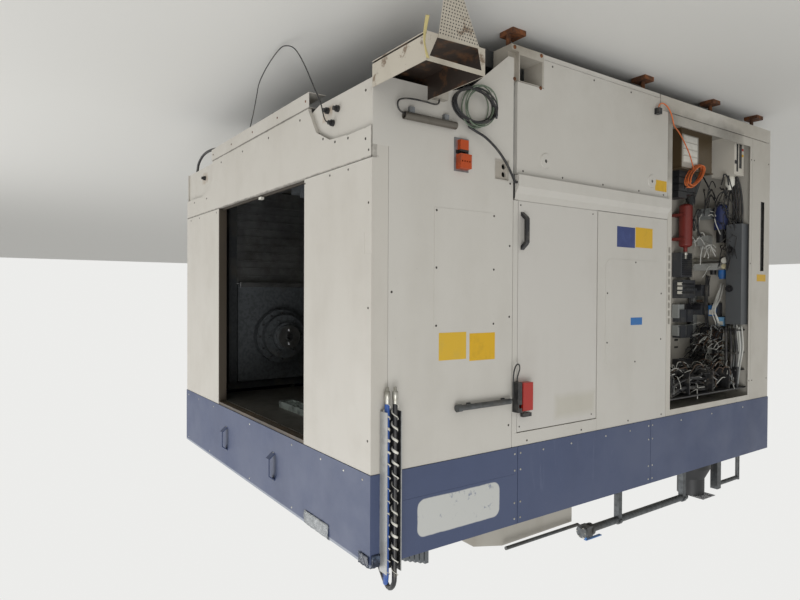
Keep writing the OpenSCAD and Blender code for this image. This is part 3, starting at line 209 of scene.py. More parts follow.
# %% Worn enamel
def worn_enamel(name, paint, grime="#7d7260", amount=0.16, low=0.3, roughness=0.42, chips="#6a5f52"):
    finish, coat = new_finish(name, 0.0, roughness, paint)
    tree, shader, spot = coat
    broad = clouds(coat, (1.6, 7, 0.65))
    runs = clouds(coat, (1.0, 4, 0.55), stretch=(4, 4, 0.9))
    both = node(tree, "ShaderNodeMath", {"operation": "MULTIPLY"}, {0: broad, 1: runs}).outputs[0]
    dirt = node(tree, "ShaderNodeMapRange", {"From Min": 0.22, "From Max": 0.44, "To Max": amount},
                {"Value": both}).outputs[0]
    height = node(tree, "ShaderNodeSeparateXYZ", None, {0: spot}).outputs[2]
    near_floor = node(tree, "ShaderNodeMapRange", {"From Min": 0.9, "From Max": 0.1, "To Max": low},
                      {"Value": height}).outputs[0]
    broken = node(tree, "ShaderNodeMapRange", {"From Min": 0.35, "From Max": 0.65},
            {"Value": broad}).outputs[0]
    near_floor = node(tree, "ShaderNodeMath", {"operation": "MULTIPLY"},
            {0: near_floor, 1: broken}).outputs[0]
    dirt = node(tree, "ShaderNodeMath", {"operation": "MAXIMUM"}, {0: dirt, 1: near_floor}).outputs[0]
    lay_over(coat, [dirt], grime)
    # Chips 2 to 5 mm across, drawn a little coarser than the real ones so that they show
    blotches(coat, (120, 2, 0.6), (0.76, 0.78, 0.6), chips)
    spread = node(tree, "ShaderNodeMapRange", {"From Min": 0.3, "From Max": 0.7, "To Min": roughness - 0.08,
                  "To Max": roughness + 0.2}, {"Value": broad}).outputs[0]
    tree.links.new(spread, shader.inputs["Roughness"])
    # Bent sheet is never quite flat, which shows in its reflections
    uneven(coat, clouds(coat, (3.2, 2, 0.6)), 0.3, 0.004)
    return finish, coat


panel_white, coat = worn_enamel("white_enamel", "#c2bfb8", amount=0.12, low=0.25)
# Brown dust in the pocket for the cables, and a darker, greasy border round it
smudge(coat, (-20, 822, 796), (30, 937, 918), 20, 30, 9, 0.45, "#7a6b54")
smudge(coat, (-20, 180, 500), (10, 640, 640), 120, 160, 5, 0.25, "#6f6656")
front_white, coat = worn_enamel("front_enamel", "#bfbbb3", amount=0.16, low=0.3)
# Oily dirt collects along the seams of the skirt
dark_lines = [((690, -30, 482), (2460, 40, 500)), ((0, -10, 888), (3170, 40, 898)),
        ((0, -10, 738), (250, 30, 746)),
              ((-2, -10, 735), (12, 30, 900))]
for low_point, high_point in dark_lines:
    smudge(coat, low_point, high_point, 8, 14, 20, 0.75, "#3d362c")
smudge(coat, (440, 0, 535), (560, 30, 610), 30, 50, 14, 0.8, "#8f6a35")
smudge(coat, (2640, 0, 540), (2790, 30, 640), 26, 50, 14, 0.7, "#8a6a3c")
in_places(coat, [((c[0] - 20, -13, c[1] - 20), (c[0] + 20, 20.5, c[1] + 20), "#1a1a1c")
                               for c in ((374, 571), (489, 555), (430, 636), (2701, 592))])
base_white = worn_enamel("base_enamel", "#b5b0a6", amount=0.4, low=0.6, grime="#6d6250")[0]
door_white, coat = worn_enamel("door_enamel", "#c3c0ba", amount=0.12, low=0.2)
# A faint ochre shadow near the top of the door, and hand grease at the handle
stain = inside(coat, (-60, 1356, 2205), (60, 1728, 2330), 50, 40, 5)
lay_over(coat, [stain], "#a09a80", 0.3)
smudge(coat, (-60, 1020, 1090), (60, 1060, 1320), 40, 50, 9, 0.3, "#6b655c")
cabinet_white, coat = worn_enamel("cabinet_enamel", "#bfbbb2", amount=0.2, low=0.35)
# Inside, the walls are greyed by painted shade, and dark brown towards the bottom
shaded_inner_walls = inside(coat, (3.5, 2561, 243.5), (496.5, 3822.5, 2459), 1)
lay_over(coat, [shaded_inner_walls], "#6b6558", 0.25)
smudge(coat, (3.5, 2561, 243.5), (496, 3640, 700), 160, 200, 3, 1, "#3d372e")
in_places(coat, [((190, 3625, 250), (492, 3760, 815), "#55585a")])
print("enamels:", [m.name for m in bpy.data.materials])

# %% [markdown]
# ## Slate-blue fascia
# The band round the top is the same enamel in slate blue. On the long side it has a bare, pale patch with
# round corners, rubbed through by years of wear, so one rounded box and one noise are laid over the blue.

# %% Blue fascia
fascia_blue, coat = worn_enamel("blue_enamel", "#3f4a68", grime="#39415a", amount=0.35, low=0.0,
                                chips="#8d93a3")
# The patch is pale and rounded; the blue comes back through it where it has been rubbed
patch = inside(coat, (-60, 284, 2640), (60, 874, 2842), 5, 10, 9, corner=48)
rubbed = clouds(coat, (13, 7, 0.75), (0.58, 0.64, 0.75))
lay_over(coat, [patch], "#bcbdba")
lay_over(coat, [patch, rubbed], "#6b7489")
# Pale scuffs across the second panel, and dust on the top fold
scuffs = clouds(coat, (1.0, 4, 0.6), (0.6, 0.75, 0.4), (30, 30, 3))
scuffed = inside(coat, (-30, 1100, 2470), (5, 1900, 2760), 120, 160, 3)
lay_over(coat, [scuffed, scuffs], "#8790a6")
smudge(coat, (-40, -40, 2908), (3300, 20, 2930), 4, 0, 6, 0.6, "#a9afb8")

# %% [markdown]
# ## Bare metals
# Galvanised steel is dull and mottled, ground steel is bright with fine lines along the cut,
# and cast iron is dark, rough and oily. A metal takes its colour from the shader's base colour.


# %% Metals
def mottled_metal(name, tint, shade, roughness=0.45, metallic=0.85, size=28):
    finish, coat = new_finish(name, metallic, roughness, tint)
    blotches(coat, (size, 3, 0.5), (0.42, 0.62, 0.6), shade)
    blotches(coat, (2.5, 6, 0.7), (0.5, 0.7, 0.6), "#5c554a")
    uneven(coat, clouds(coat, (60, 3, 0.6)), 0.15, 0.001)
    return finish


galvanised = mottled_metal("galvanised_steel", "#a3a5a4", "#7d8080", 0.5)
zinc_bright = mottled_metal("zinc_plated_steel", "#b6b5ae", "#8e8a7e", 0.38)
pipe_steel = mottled_metal("dark_pipe_steel", "#5d6062", "#404244", 0.5, 0.7)
ground_steel = mottled_metal("ground_steel", "#b9babb", "#8f9091", 0.28, 0.95, 8)
cast_iron = mottled_metal("oily_cast_iron", "#53575a", "#383b3d", 0.55, 0.35, 40)
column_iron = mottled_metal("dark_cast_iron", "#35383a", "#24272a", 0.55, 0.3, 40)
chamber_steel = mottled_metal("chamber_sheet", "#55544f", "#3d3a34", 0.5, 0.5, 12)
dark_screw = mottled_metal("dark_screw_steel", "#4a4844", "#33302b", 0.45, 0.7)
slat_steel = mottled_metal("slat_steel", "#a5a6a6", "#7f8081", 0.3, 0.9, 8)

# %% [markdown]
# ## Rust, rubber and plastics
# The feet and the inside of the chip tray are rusty, so two browns are mixed by noise with a rough
# surface. Cable jackets are matte black or orange PVC with grey dust on top.


# %% Rust, jackets and plastics
def rusty(name, base="#4a3020", bright="#7c4a26"):
    finish, coat = new_finish(name, 0.1, 0.85, base)
    blotches(coat, (22, 8, 0.7), (0.42, 0.62, 1), bright)
    blotches(coat, (5, 6, 0.7), (0.52, 0.66, 0.8), "#2a211b")
    uneven(coat, clouds(coat, (90, 6, 0.7)), 0.6, 0.003)
    return finish


def jacket(name, paint, dust="#8b857a", roughness=0.5, amount=0.35):
    finish, coat = new_finish(name, 0.0, roughness, paint)
    blotches(coat, (14, 6, 0.7), (0.5, 0.72, amount), dust)
    uneven(coat, clouds(coat, (240, 2, 0.6)), 0.12, 0.0006)
    return finish


rust = rusty("rusty_iron")
black_jacket = jacket("black_cable_jacket", "#1b1b1d")
thick_jacket = jacket("thick_black_jacket", "#17171a", roughness=0.42)
grey_jacket = jacket("grey_cable_jacket", "#8b8d8c", "#5f5a50")
pale_jacket = jacket("pale_cable_jacket", "#c6c6c0", "#7c7568")
brown_jacket = jacket("brown_cable_jacket", "#4c3a2c")
orange_jacket = jacket("orange_cable_jacket", "#cf6a30", "#7d4a2a", amount=0.5)
blue_jacket = jacket("blue_hose_jacket", "#24509a")
black_plastic = jacket("black_moulded_plastic", "#1d1d20", roughness=0.38, amount=0.25)
grey_plastic = jacket("grey_moulded_plastic", "#8f9290", "#6a665d", roughness=0.45)
dark_plastic = jacket("dark_grey_plastic", "#3c3e42", "#6f6a60", roughness=0.5)
white_plastic = jacket("white_moulded_plastic", "#dedcd2", "#8f8770", roughness=0.4, amount=0.3)
red_plastic = jacket("red_moulded_plastic", "#a3241a", "#5a2a20", roughness=0.35, amount=0.3)
blue_plastic = jacket("blue_moulded_plastic", "#2f6fb0", "#3a4f66", roughness=0.32, amount=0.25)
pale_blue_plastic = jacket("pale_blue_plastic", "#7fb4dc", "#5c7c92", roughness=0.35, amount=0.25)
sage_jacket = jacket("sage_green_jacket", "#5f6d5c", "#79786a", roughness=0.5, amount=0.4)
yellow_field = jacket("yellow_label_film", "#cfa30e", "#9a7c12", roughness=0.4, amount=0.3)
faded_field = jacket("faded_label_film", "#cda62a", "#b99f4a", roughness=0.45, amount=0.45)
blue_field = jacket("blue_label_film", "#26376e", "#44548a", roughness=0.4, amount=0.5)
pale_field = jacket("pale_label_film", "#dad8cf", "#a39b86", roughness=0.5, amount=0.4)
blue_tape = jacket("blue_masking_tape", "#2f6aa8", "#4d7396", roughness=0.6, amount=0.3)
amber = jacket("ochre_tag_film", "#b8863a", "#6f5426", roughness=0.6)
box_grey = worn_enamel("terminal_box_enamel", "#54575a", "#3a3a38", amount=0.4, low=0.2)[0]
tank_brown, coat = worn_enamel("tank_enamel", "#50422c", "#2b241a", amount=0.6, low=0.2)
# The tank's motor and valves are black, and the service box beside it is white
in_places(coat, [((130, 3000, 563.4), (440, 3500, 800), "#1d1e20"),
                 ((36, 3590, 240), (234, 3770, 562), "#c6c1b6"),
                 ((36, 3637, 300), (40.4, 3664, 532), "#151517"),
                 ((146.8, 3000, 290), (149.8, 3240, 570), "#c9c6bd")])
# Its filter bowl is navy, its caps blue and black, its motor grey and its gauge ivory
unit_finish, coat = new_finish("air_unit_finish", 0.0, 0.42, "#a9aaa6")
in_places(coat, [((160, 3690, 775), (292, 3822, 999.5), "#232f5c"),
                 ((160, 3690, 1000), (292, 3822, 1111), "#1b1b1e"),
                 ((292, 3690, 795), (420, 3822, 900), "#6f7173"),
                 ((178, 3730, 1351), (252, 3822, 1430), "#2c6cb4"),
                 ((270, 3740, 1351), (330, 3822, 1430), "#1b1b1e"),
                 ((155, 3690, 1290), (210, 3745, 1350), "#d5cba6")])
blotches(coat, (9, 6, 0.7), (0.5, 0.7, 0.4), "#5a5548")
vessel_red = worn_enamel("vessel_enamel", "#74261f", "#2b1613", amount=0.5, low=0.1)[0]
strip_beige, coat = worn_enamel("opening_strip_enamel", "#453d33", "#2a241d", amount=0.75, low=0.5)
# Coolant has browned the lintel, and the sill is dark with old oil
smudge(coat, (700, 0, 2440), (2400, 80, 2480), 30, 60, 8, 0.6, "#7a5a36")
smudge(coat, (700, 0, 850), (2400, 80, 930), 20, 30, 9, 1, "#3f382f")
tray_paint, coat = worn_enamel("tray_enamel", "#b9b2a4", "#6b5d49", amount=0.5, low=0.3)
blotches(coat, (11, 8, 0.75), (0.56, 0.62, 0.8), "#5f472f")
inner = inside(coat, (-428, 2, 437.5), (640, 342, 561), 1, 0)
lay_over(coat, [inner], "#2c231d")
lay_over(coat, [inner, clouds(coat, (12, 7, 0.7), (0.52, 0.64, 0.8))], "#5d4029")

# %% [markdown]
# ## Solids with two finishes
# A few solids hold more than one real piece, so their finish changes with the place on them.

# %% Finishes by place
duct_finish, coat = new_finish("duct_finish", 0.3, 0.5, "#a6a7a6")
in_places(coat, [((-60.5, 55, 2100), (-3, 139, 2950), "#26272a")])
blotches(coat, (12, 6, 0.6), (0.5, 0.7, 0.4), "#5c5c5a")
hood_finish, coat = worn_enamel("hood_finish", "#aca89f", amount=0.4, low=0.0)
in_places(coat, [((100, 200, 2880), (460, 520, 3300), "#5d6165"),
        ((0, 3000, 2880), (500, 3600, 3300), "#232426")])
plate_finish, coat = new_finish("plate_finish", 0.3, 0.45, "#7c7f82")
in_places(coat, [((-60, 530, 735), (-4.4, 620, 900), "#b5491a"),
                 ((-60, 530, 792), (-4, 620, 812), "#2a2522"),
                 ((-60, 340, 480), (1, 460, 560), "#a19c92")])
lay_over(coat, [inside(coat, (-60, 100, 650), (1, 516, 692), 1)], "#5f5a52")
blotches(coat, (16, 6, 0.6), (0.5, 0.7, 0.5), "#4e4a42")

# %% [markdown]
# ## Lamp cover and clear film
# The work lamp is off, and its plastic cover is grey with dried coolant. Three scraps of packing film hang
# on the top edge of the enclosure. Film is thin and glossy, so it lets most light through and shines at folds.

# %% Lamp and film
lamp_cover, coat = new_finish("lamp_diffuser", 0.0, 0.25, "#77807c")
blotches(coat, (8, 5, 0.6), (0.45, 0.65, 0.8), "#3c3f3c")
uneven(coat, clouds(coat, (50, 2, 0.6)), 0.1, 0.001)
clear_film, coat = new_finish("clear_packing_film", 0.0, 0.18, "#9fa3a6")
coat[1].inputs["Alpha"].default_value = 0.72
uneven(coat, clouds(coat, (34, 5, 0.6)), 0.7, 0.006)
dark_film, coat = new_finish("dark_packing_film", 0.0, 0.22, "#1b2436")
blotches(coat, (26, 5, 0.6), (0.52, 0.62, 0.5), "#5d6d86")
uneven(coat, clouds(coat, (34, 5, 0.6)), 0.8, 0.006)
webbing, coat = new_finish("pale_strap_webbing", 0.0, 0.85, "#cdbf86")
tree, _, spot = coat
weave = node(tree, "ShaderNodeTexWave", {"Scale": 120.0, "bands_direction": "Z"},
        {"Vector": spot}).outputs[1]
lay_over(coat, [weave], "#8f8252", 0.35)
uneven(coat, weave, 0.5, 0.001)

# %% [markdown]
# ## Helpers for pieces
# Rows of boxes, turned profiles and swept tubes are enough for most fittings of a machine.
# Each helper makes one mesh in the row frame, gives it its finish and lets it ride on a body.


# %% Mesh helpers
def finished(name, mesh, material, body="root"):
    piece = bpy.data.objects.new(name, mesh)
    bpy.context.scene.collection.objects.link(piece)
    mesh.materials.clear()
    mesh.materials.append(material)
    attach(piece, body)
    return piece


def mesh_of(name, shape):
    bmesh.ops.recalc_face_normals(shape, faces=shape.faces)
    mesh = bpy.data.meshes.new(name)
    shape.to_mesh(mesh)
    shape.free()
    return mesh


def blocks(name, corners, material, edge=2.0, body="root"):
    """Boxes with rounded edges, each between two corners in millimetres."""
    shape = bmesh.new()
    for p, q in corners:
        low = place(*[min(x, y) for x, y in zip(p, q)])
        size = place(*[max(x, y) for x, y in zip(p, q)]) - low
        made = bmesh.ops.create_cube(shape, size=1)["verts"]
        for v in made:
            v.co = low + Vector([size[i] * (v.co[i] + 0.5) for i in range(3)])
        edges = list({e for v in made for e in v.link_edges})
        bmesh.ops.bevel(shape, geom=edges, offset=min(edge / 1000, min(size) * 0.3), segments=2,
                        profile=0.6, affect="EDGES")
    return finished(name, mesh_of(name, shape), material, body)


def smooth_line(points, steps):
    """Points along a smooth curve through the given ones, as part.scad makes it."""
    points = [Vector(p) for p in points]
    line = []
    for i in range(len(points) - 1):
        p0, p1, p2, p3 = points[max(i - 1, 0)], points[i], points[i + 1], points[min(i + 2,
                len(points) - 1)]
        for k in range(steps):
            t = k / steps
            line.append(0.5 * (2 * p1 + (p2 - p0) * t + (2 * p0 - 5 * p1 + 4 * p2 - p3) * t * t
                               + (3 * p1 - p0 - 3 * p2 + p3) * t ** 3))
    return line + [points[-1]]


def sweep(shape, line, radius, sides=10, flat=1.0):
    """Sweeps a round or flattened outline along a line of points in the row frame."""
    across_line, rings = None, []
    for i, point in enumerate(line):
        way = (line[min(i + 1, len(line) - 1)] - line[max(i - 1, 0)]).normalized()
        seed = across_line or (Vector((0, 0, 1)) if abs(way.z) < 0.8 else Vector((0.3, 1, 0)))
        across_line = (seed - way * seed.dot(way)).normalized()
        other = way.cross(across_line)
        rings.append([shape.verts.new(point + radius * (across_line * math.cos(math.tau * k / sides)
                     + flat * other * math.sin(math.tau * k / sides))) for k in range(sides)])
    for one, two in zip(rings, rings[1:]):
        for k in range(sides):
            shape.faces.new((one[k], two[k], two[(k + 1) % sides], one[(k + 1) % sides])).smooth = True
    shape.faces.new(rings[0])
    shape.faces.new(list(reversed(rings[-1])))


def tubes(name, runs, material, body="root", steps=5, sides=10):
    """Smooth tubes, each given by its points and its diameter in millimetres."""
    shape = bmesh.new()
    for points, d in runs:
        sweep(shape, [place(*p) for p in smooth_line(points, steps)], d / 2000, sides)
    return finished(name, mesh_of(name, shape), material, body)


def turned(name, centre, axis, profiles, material, body="root", sides=28):
    """Closed turned shapes. A profile is a list of (distance along the axis, radius) in millimetres."""
    shape = bmesh.new()
    ways = {"x": (Vector((1, 0, 0)), Vector((0, 1, 0)), Vector((0, 0, 1))),
            "y": (Vector((0, 1, 0)), Vector((0, 0, 1)), Vector((1, 0, 0))),
            "z": (Vector((0, 0, 1)), Vector((1, 0, 0)), Vector((0, 1, 0)))}
    along, u, v = ways[axis]
    for c, profile in zip(centre, profiles):
        start = place(*c)
        rings = [[shape.verts.new(start + along * (s / 1000) + (u * math.cos(math.tau * k / sides)
                  + v * math.sin(math.tau * k / sides)) * (r / 1000)) for k in range(sides)] for s,
                  r in profile]
        for one, two in zip(rings, rings[1:]):
            for k in range(sides):
                shape.faces.new((one[k], one[(k + 1) % sides], two[(k + 1) % sides], two[k])).smooth = True
        shape.faces.new(list(reversed(rings[0])))
        shape.faces.new(rings[-1])
    return finished(name, mesh_of(name, shape), material, body)


# %% [markdown]
# ## Cords
# Loose cables are what the eye trusts least in a model, so they come first. Each one is a curve along
# the same points as its solid, and it starts and ends in something: a connector, a box or a coil.


# %% Cord helper
def cord(name, points, d, material, steps, nodes=(),
         line=None):
    line = line or smooth_line(points, steps)
    curve = bpy.data.curves.new(name, "CURVE")
    curve.dimensions = "3D"
    curve.bevel_depth = d / 2000
    curve.bevel_resolution = 3
    curve.use_fill_caps = True
    spline = curve.splines.new("POLY")
    spline.points.add(len(line) - 1)
    for point, p in zip(spline.points, line):
        point.co = (*place(*p), 1)
    spline.use_smooth = True
    piece = bpy.data.objects.new(name, curve)
    bpy.context.scene.collection.objects.link(piece)
    curve.materials.append(material)
    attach(piece, "root")
    if nodes:
        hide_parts(*nodes)
    return piece


def loose_coil(centre, half_l, half_h, turns, depth, tilt, seed, slack=0.14, per_turn=30):
    """A coil wound by hand: each turn differs a little in size, place and tilt, and lies on the last."""
    random.seed(seed)
    count = turns + 2
    sizes = [1 - slack * random.random() for _ in range(count)]
    shifts = [(random.uniform(-0.5, 0.5) * slack * half_l, random.uniform(-0.5, 0.5) * slack * half_h)
              for _ in range(count)]
    tilts = [tilt + random.uniform(-0.5, 0.5) * slack for _ in range(count)]
    line = []
    for step in range(turns * per_turn + 1):
        whole, part = divmod(step / per_turn, 1)
        part = part * part * (3 - 2 * part)
        one, two = int(whole), int(whole) + 1
        size, turn = [u + (v - u) * part for u, v in ((sizes[one], sizes[two]), (tilts[one], tilts[two]))]
        db, dh = [u + (v - u) * part for u, v in zip(shifts[one], shifts[two])]
        angle = math.tau * step / per_turn
        x, y = half_l * size * math.cos(angle), half_h * size * math.sin(angle)
        c, n = math.cos(turn), math.sin(turn)
        line.append((centre[0] + depth * step / per_turn, centre[1] + db + c * x - n * y,
                     centre[2] + dh + n * x + c * y))
    return line


# %% Cords along the front and the side
cord("front_cable", [[430, -13.4, 636], [431, -24, 632], [446, -30, 604], [496, -26, 510], [591, -20, 396],
     [712, -20, 235], [835, -20, 109], [964, -18, 46], [1079, -14, 30], [1279, -4, 62], [1489, 20, 112],
     [1602, 44, 172], [1690, 56, 262], [1770, 60, 360], [1786, 60, 395.5]], 7, black_jacket, 4,
     nodes=["front_loop_cord"])
cord("switch_cable", [[-22, 992, 2079.6], [-22, 994, 2050], [-30, 1003, 2005], [-36, 990, 1976],
     [-38, 966, 1980], [-34, 952, 2020], [-28, 952, 2090], [-27, 956, 2145], [-27, 951, 2174],
     [-27, 930.5, 2185]], 8, black_jacket, 3, nodes=["switch_cord"])
cord("ledge_cable", [[-17, 984.6, 920], [-18, 965, 917], [-30, 932, 890], [-38, 890, 845],
     [-40, 847, 800], [-40, 790, 752], [-38, 715, 706], [-30, 655, 682], [-21, 625, 666], [-20, 613, 662],
     [-20, 613, 652.2]], 14, thick_jacket, 3, nodes=["ledge_cord"])
cord("tube_cable", [[-21, 240, 660], [-22, 190, 661], [-28, 150, 658], [-34, 128, 635], [-35, 138, 605],
     [-34, 200, 588], [-30, 300, 584], [-25, 368, 584], [-20, 398, 572], [-20, 402, 552.4]], 9,
     black_jacket, 3,
     nodes=["tube_cord"])
cord("thick_front_cable", [[3060, 60, 496.6], [3060, 60, 482], [3060, 60, 466], [3000, 54, 410],
     [2860, 50, 365], [2700, 60, 350], [2560, 96, 352], [2470, 136, 380], [2412, 180, 440],
     [2408, 190, 470],
     [2408, 190, 485], [2408, 190, 499.6]], 22, thick_jacket, 4, nodes=["far_loop_cord"])

# %% Coils
coil_turns = loose_coil((-17.0, 640, 548), 158, 96, 5, -9.6, 0.0, 21)
coil_plug = turned("bundle_plug", [(coil_turns[-1][0], coil_turns[-1][1], coil_turns[-1][2] - 2)], "z",
                   [[(-4, 6), (0, 8), (22, 8.5), (26, 7), (38, 6)]], black_plastic)
cord("bundled_cable", [], 9, black_jacket, 1, nodes=["bundle_coil"],
     line=coil_turns)
thin_turns = loose_coil((-13.0, 668, 540), 128, 104, 5, -9.6, -0.9, 22, 0.2)
cord("thin_bundled_cable", [], 7, sage_jacket, 1, line=thin_turns)
orange_turns = loose_coil((100.0, 3160, 610), 150, 62, 6, 9.4, math.radians(142.8), 23, 0.16)
orange_path = smooth_line([[120, 3123.7, 561.6], [120, 3100, 528], [112, 3040, 455], [95, 2930, 376],
    [60, 2800, 334], [25, 2690, 322], [0, 2628, 319], [-14, 2590, 292], [-17, 2560, 248], [-17, 2520, 212],
    [-18, 2470, 196], [-19, 2425, 202], [-20, 2402, 224], [-20, 2398, 239.6]], 3)
cord("orange_lead_cable", [], 9, orange_jacket, 1, nodes=["orange_lead"],
        line=list(reversed(orange_path)))
orange_plug = turned("orange_plug", [orange_turns[-1]], "z", [[(-6, 4), (-2, 9), (20, 9.5), (26, 6)]],
        black_plastic)
cord("orange_coil_cable", [], 9, orange_jacket, 1, nodes=["orange_coil"],
     line=orange_turns)

# %% Hoses in the duct
hose_lines = []
for name, jacket_finish, points in (
        ("blue_hose", blue_jacket, [[-27, 78, 2114], [-27, 78, 2400], [-27, 78, 2700], [-27, 78, 2930],
        [-16, 84, 2990],
         [30, 110, 3030], [110, 160, 3000], [190, 196, 2952], [190, 222, 2952], [190, 249.7, 2952]]),
        ("black_hose", thick_jacket, [[-42, 116, 2114], [-42, 116, 2400], [-42, 116, 2700],
        [-42, 116, 2930],
         [-30, 120, 3020], [50, 140, 3070], [170, 170, 3020], [270, 196, 2957], [270, 222, 2957],
         [270, 249.7, 2957]])):
    a, b, _ = points[0]
    end = turned(name + "_end", [(a, b, 2030)], "z", [[(0, 7), (2, 8), (20, 8), (22, 13), (26, 15),
            (60, 15),
                 (62, 13.5), (82, 13.5), (86, 12)]], zinc_bright)
    line = smooth_line(list(reversed(points)), 4)
    hose_lines.append(line)
    cord(name, [], 26, jacket_finish, 1, nodes=["duct_hoses"],
            line=line)

# %% [markdown]
# ## Finishes of the solids
# Most solids already have the right shape and only need their finish.

# %% Paint the solids
finishes = {
    "levelling_feet": rust, "base_beams": column_iron, "corner_blocks": base_white,
    "enclosure_frame": galvanised,
    "machine_bed": cast_iron, "chamber_lining": chamber_steel, "work_lamp": lamp_cover,
    "column": column_iron,
    "spindle_head": cast_iron, "spindle": ground_steel, "table_saddle": cast_iron,
    "pallet_table": cast_iron,
    "rotary_pallet": ground_steel, "near_side_panel": panel_white, "screwed_covers": panel_white,
    "connector_plate": plate_finish, "side_panels": panel_white, "drip_ledge": panel_white,
    "door_frame": panel_white, "side_door": door_white, "door_handle": black_plastic,
    "pivot_pins": zinc_bright,
    "switch_body": black_plastic, "switch_key": red_plastic, "switch_bolt": black_plastic,
    "cable_conduit": pipe_steel, "cabinet_surround": cabinet_white, "cabinet_shell": cabinet_white,
    "cabinet_boards": cabinet_white, "terminal_box": box_grey, "selector_knob_1": black_plastic,
    "selector_knob_2": black_plastic, "air_service_unit": unit_finish, "hydraulic_unit": tank_brown,
    "accumulator": vessel_red, "control_modules": dark_plastic, "cabinet_wiring": black_jacket,
    "front_panels": front_white, "opening_frame": strip_beige, "front_skirt": front_white,
    "band_panels": fascia_blue, "band_handles": fascia_blue, "plain_panels": cabinet_white,
    "roof_hood": hood_finish, "roof_pipework": pipe_steel, "valve_lever": blue_plastic,
    "hose_duct": duct_finish,
    "chip_tray": tray_paint, "lead_socket": black_plastic}
for name, finish in finishes.items():
    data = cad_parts[name].data
    data.materials.clear()
    data.materials.append(finish)
print("solids painted:", len(finishes))

# %% [markdown]
# ## Screws and rivets
# A machine like this is held together by hundreds of screws. One small Geometry Nodes tree puts a domed
# head on each point of a mesh, so a new row of rivets only needs a list of places.


# %% Screw heads by Geometry Nodes
def new_tree(name, inputs, output):
    """A node group with named inputs and one output, and the sockets that hold its inputs."""
    tree = bpy.data.node_groups.new(name, "GeometryNodeTree")
    for label, kind in inputs:
        tree.interface.new_socket(label, in_out="INPUT", socket_type="NodeSocket" + kind)
    tree.interface.new_socket(output, in_out="OUTPUT", socket_type="NodeSocketGeometry")
    return tree, node(tree, "NodeGroupInput").outputs


def end_tree(tree, copies, finish):
    """The export drops instances, so the copies are made real before they get their finish."""
    real = node(tree, "GeometryNodeRealizeInstances", None, {0: copies.outputs[0]})
    done = node(tree, "GeometryNodeSetMaterial", None, {"Geometry": real.outputs[0], "Material": finish})
    node(tree, "NodeGroupOutput", None, {0: done.outputs[0]})
    return tree


def dome_tree():
    tree, start = new_tree("domed_heads", (("Places", "Geometry"), ("Head Diameter", "Float"),
                           ("Head Height", "Float"), ("Turn", "Rotation"), ("Finish", "Material")), "Heads")
    dome = node(tree, "GeometryNodeMeshUVSphere", {"Segments": 12, "Rings": 6, "Radius": 0.5})
    size = node(tree, "ShaderNodeCombineXYZ", None, {0: start[1], 1: start[1], 2: start[2]})
    put = node(tree, "GeometryNodeInstanceOnPoints", None,
               {"Points": start[0], "Instance": dome.outputs["Mesh"], "Rotation": start[3],
                "Scale": size.outputs[0]})
    return end_tree(tree, put, start[4])


heads_tree = dome_tree()


def grown(name, tree, places, values, material, body="root"):
    """Runs a tree on a mesh of points, and keeps the result as a plain mesh."""
    seed_mesh = bpy.data.meshes.new(name + "_places")
    seed_mesh.from_pydata([place(*p) for p in places], [], [])
    holder = bpy.data.objects.new(name + "_places", seed_mesh)
    bpy.context.scene.collection.objects.link(holder)
    modifier = holder.modifiers.new("heads", "NODES")
    modifier.node_group = tree
    sockets = {s.name: s.identifier for s in tree.interface.items_tree if s.in_out == "INPUT"}
    for key, value in values.items():
        modifier[sockets[key]] = value
    modifier[sockets["Finish"]] = material
    bpy.context.view_layer.update()
    result = bpy.data.meshes.new_from_object(holder.evaluated_get(bpy.context.evaluated_depsgraph_get()))
    result.name = name
    holder.modifiers.clear()
    bpy.data.objects.remove(holder)
    print(name, len(result.polygons), "faces")
    return finished(name, result, material, body)


TO_SIDE = (0.0, -math.pi / 2, 0.0)
TO_FRONT = (math.pi / 2, 0.0, 0.0)
TO_TOP = (0.0, 0.0, 0.0)


def heads(name, places, d, h, turn, material, body="root"):
    return grown(name, heads_tree, places, {"Head Diameter": d / 1000, "Head Height": 2 * h / 1000,
            "Turn": turn},
                 material, body)


# %% Screws on the long side
side_screws = [(-2, b, h) for b, h in ((2170, 1345), (1856, 1560), (1856, 1890), (2482, 1560), (2482, 1890),
        (2170, 2035))]
side_screws += [(-2, b, h) for b in (404, 818) for h in (1127, 1430, 1737)]
side_screws += [(0, b, h) for b, h in ((945, 930), (945, 1290), (945, 1700), (945, 2330), (120, 1560),
        (120, 2400))]
side_screws += [(0, b, h) for b in (1100, 1600, 2100, 2500) for h in (2440,)]
side_screws += [(0, b, 845) for b in (1050, 1400, 1800, 2200, 2500)] + [(0, b, 180) for b in (1300, 1700,
        2100)]
side_screws += [(0, 3808, h) for h in (420, 1300, 2300)]
side_screws += [(0, b, h) for b in (3860, 4120) for h in (420, 2300)]
heads("side_screw_heads", side_screws, 13, 2.5, TO_SIDE, dark_screw)
heads("block_bolt_heads", [(0, 975, 136), (0, 1200, 136), (0, 975, 320), (0, 1195, 330)], 24, 7, TO_SIDE,
        rust)
heads("door_screw_heads", [(0, b, h) for b in (1034, 1700) for h in (1046, 2350)], 11, 1.5, TO_SIDE,
        dark_screw, "door")

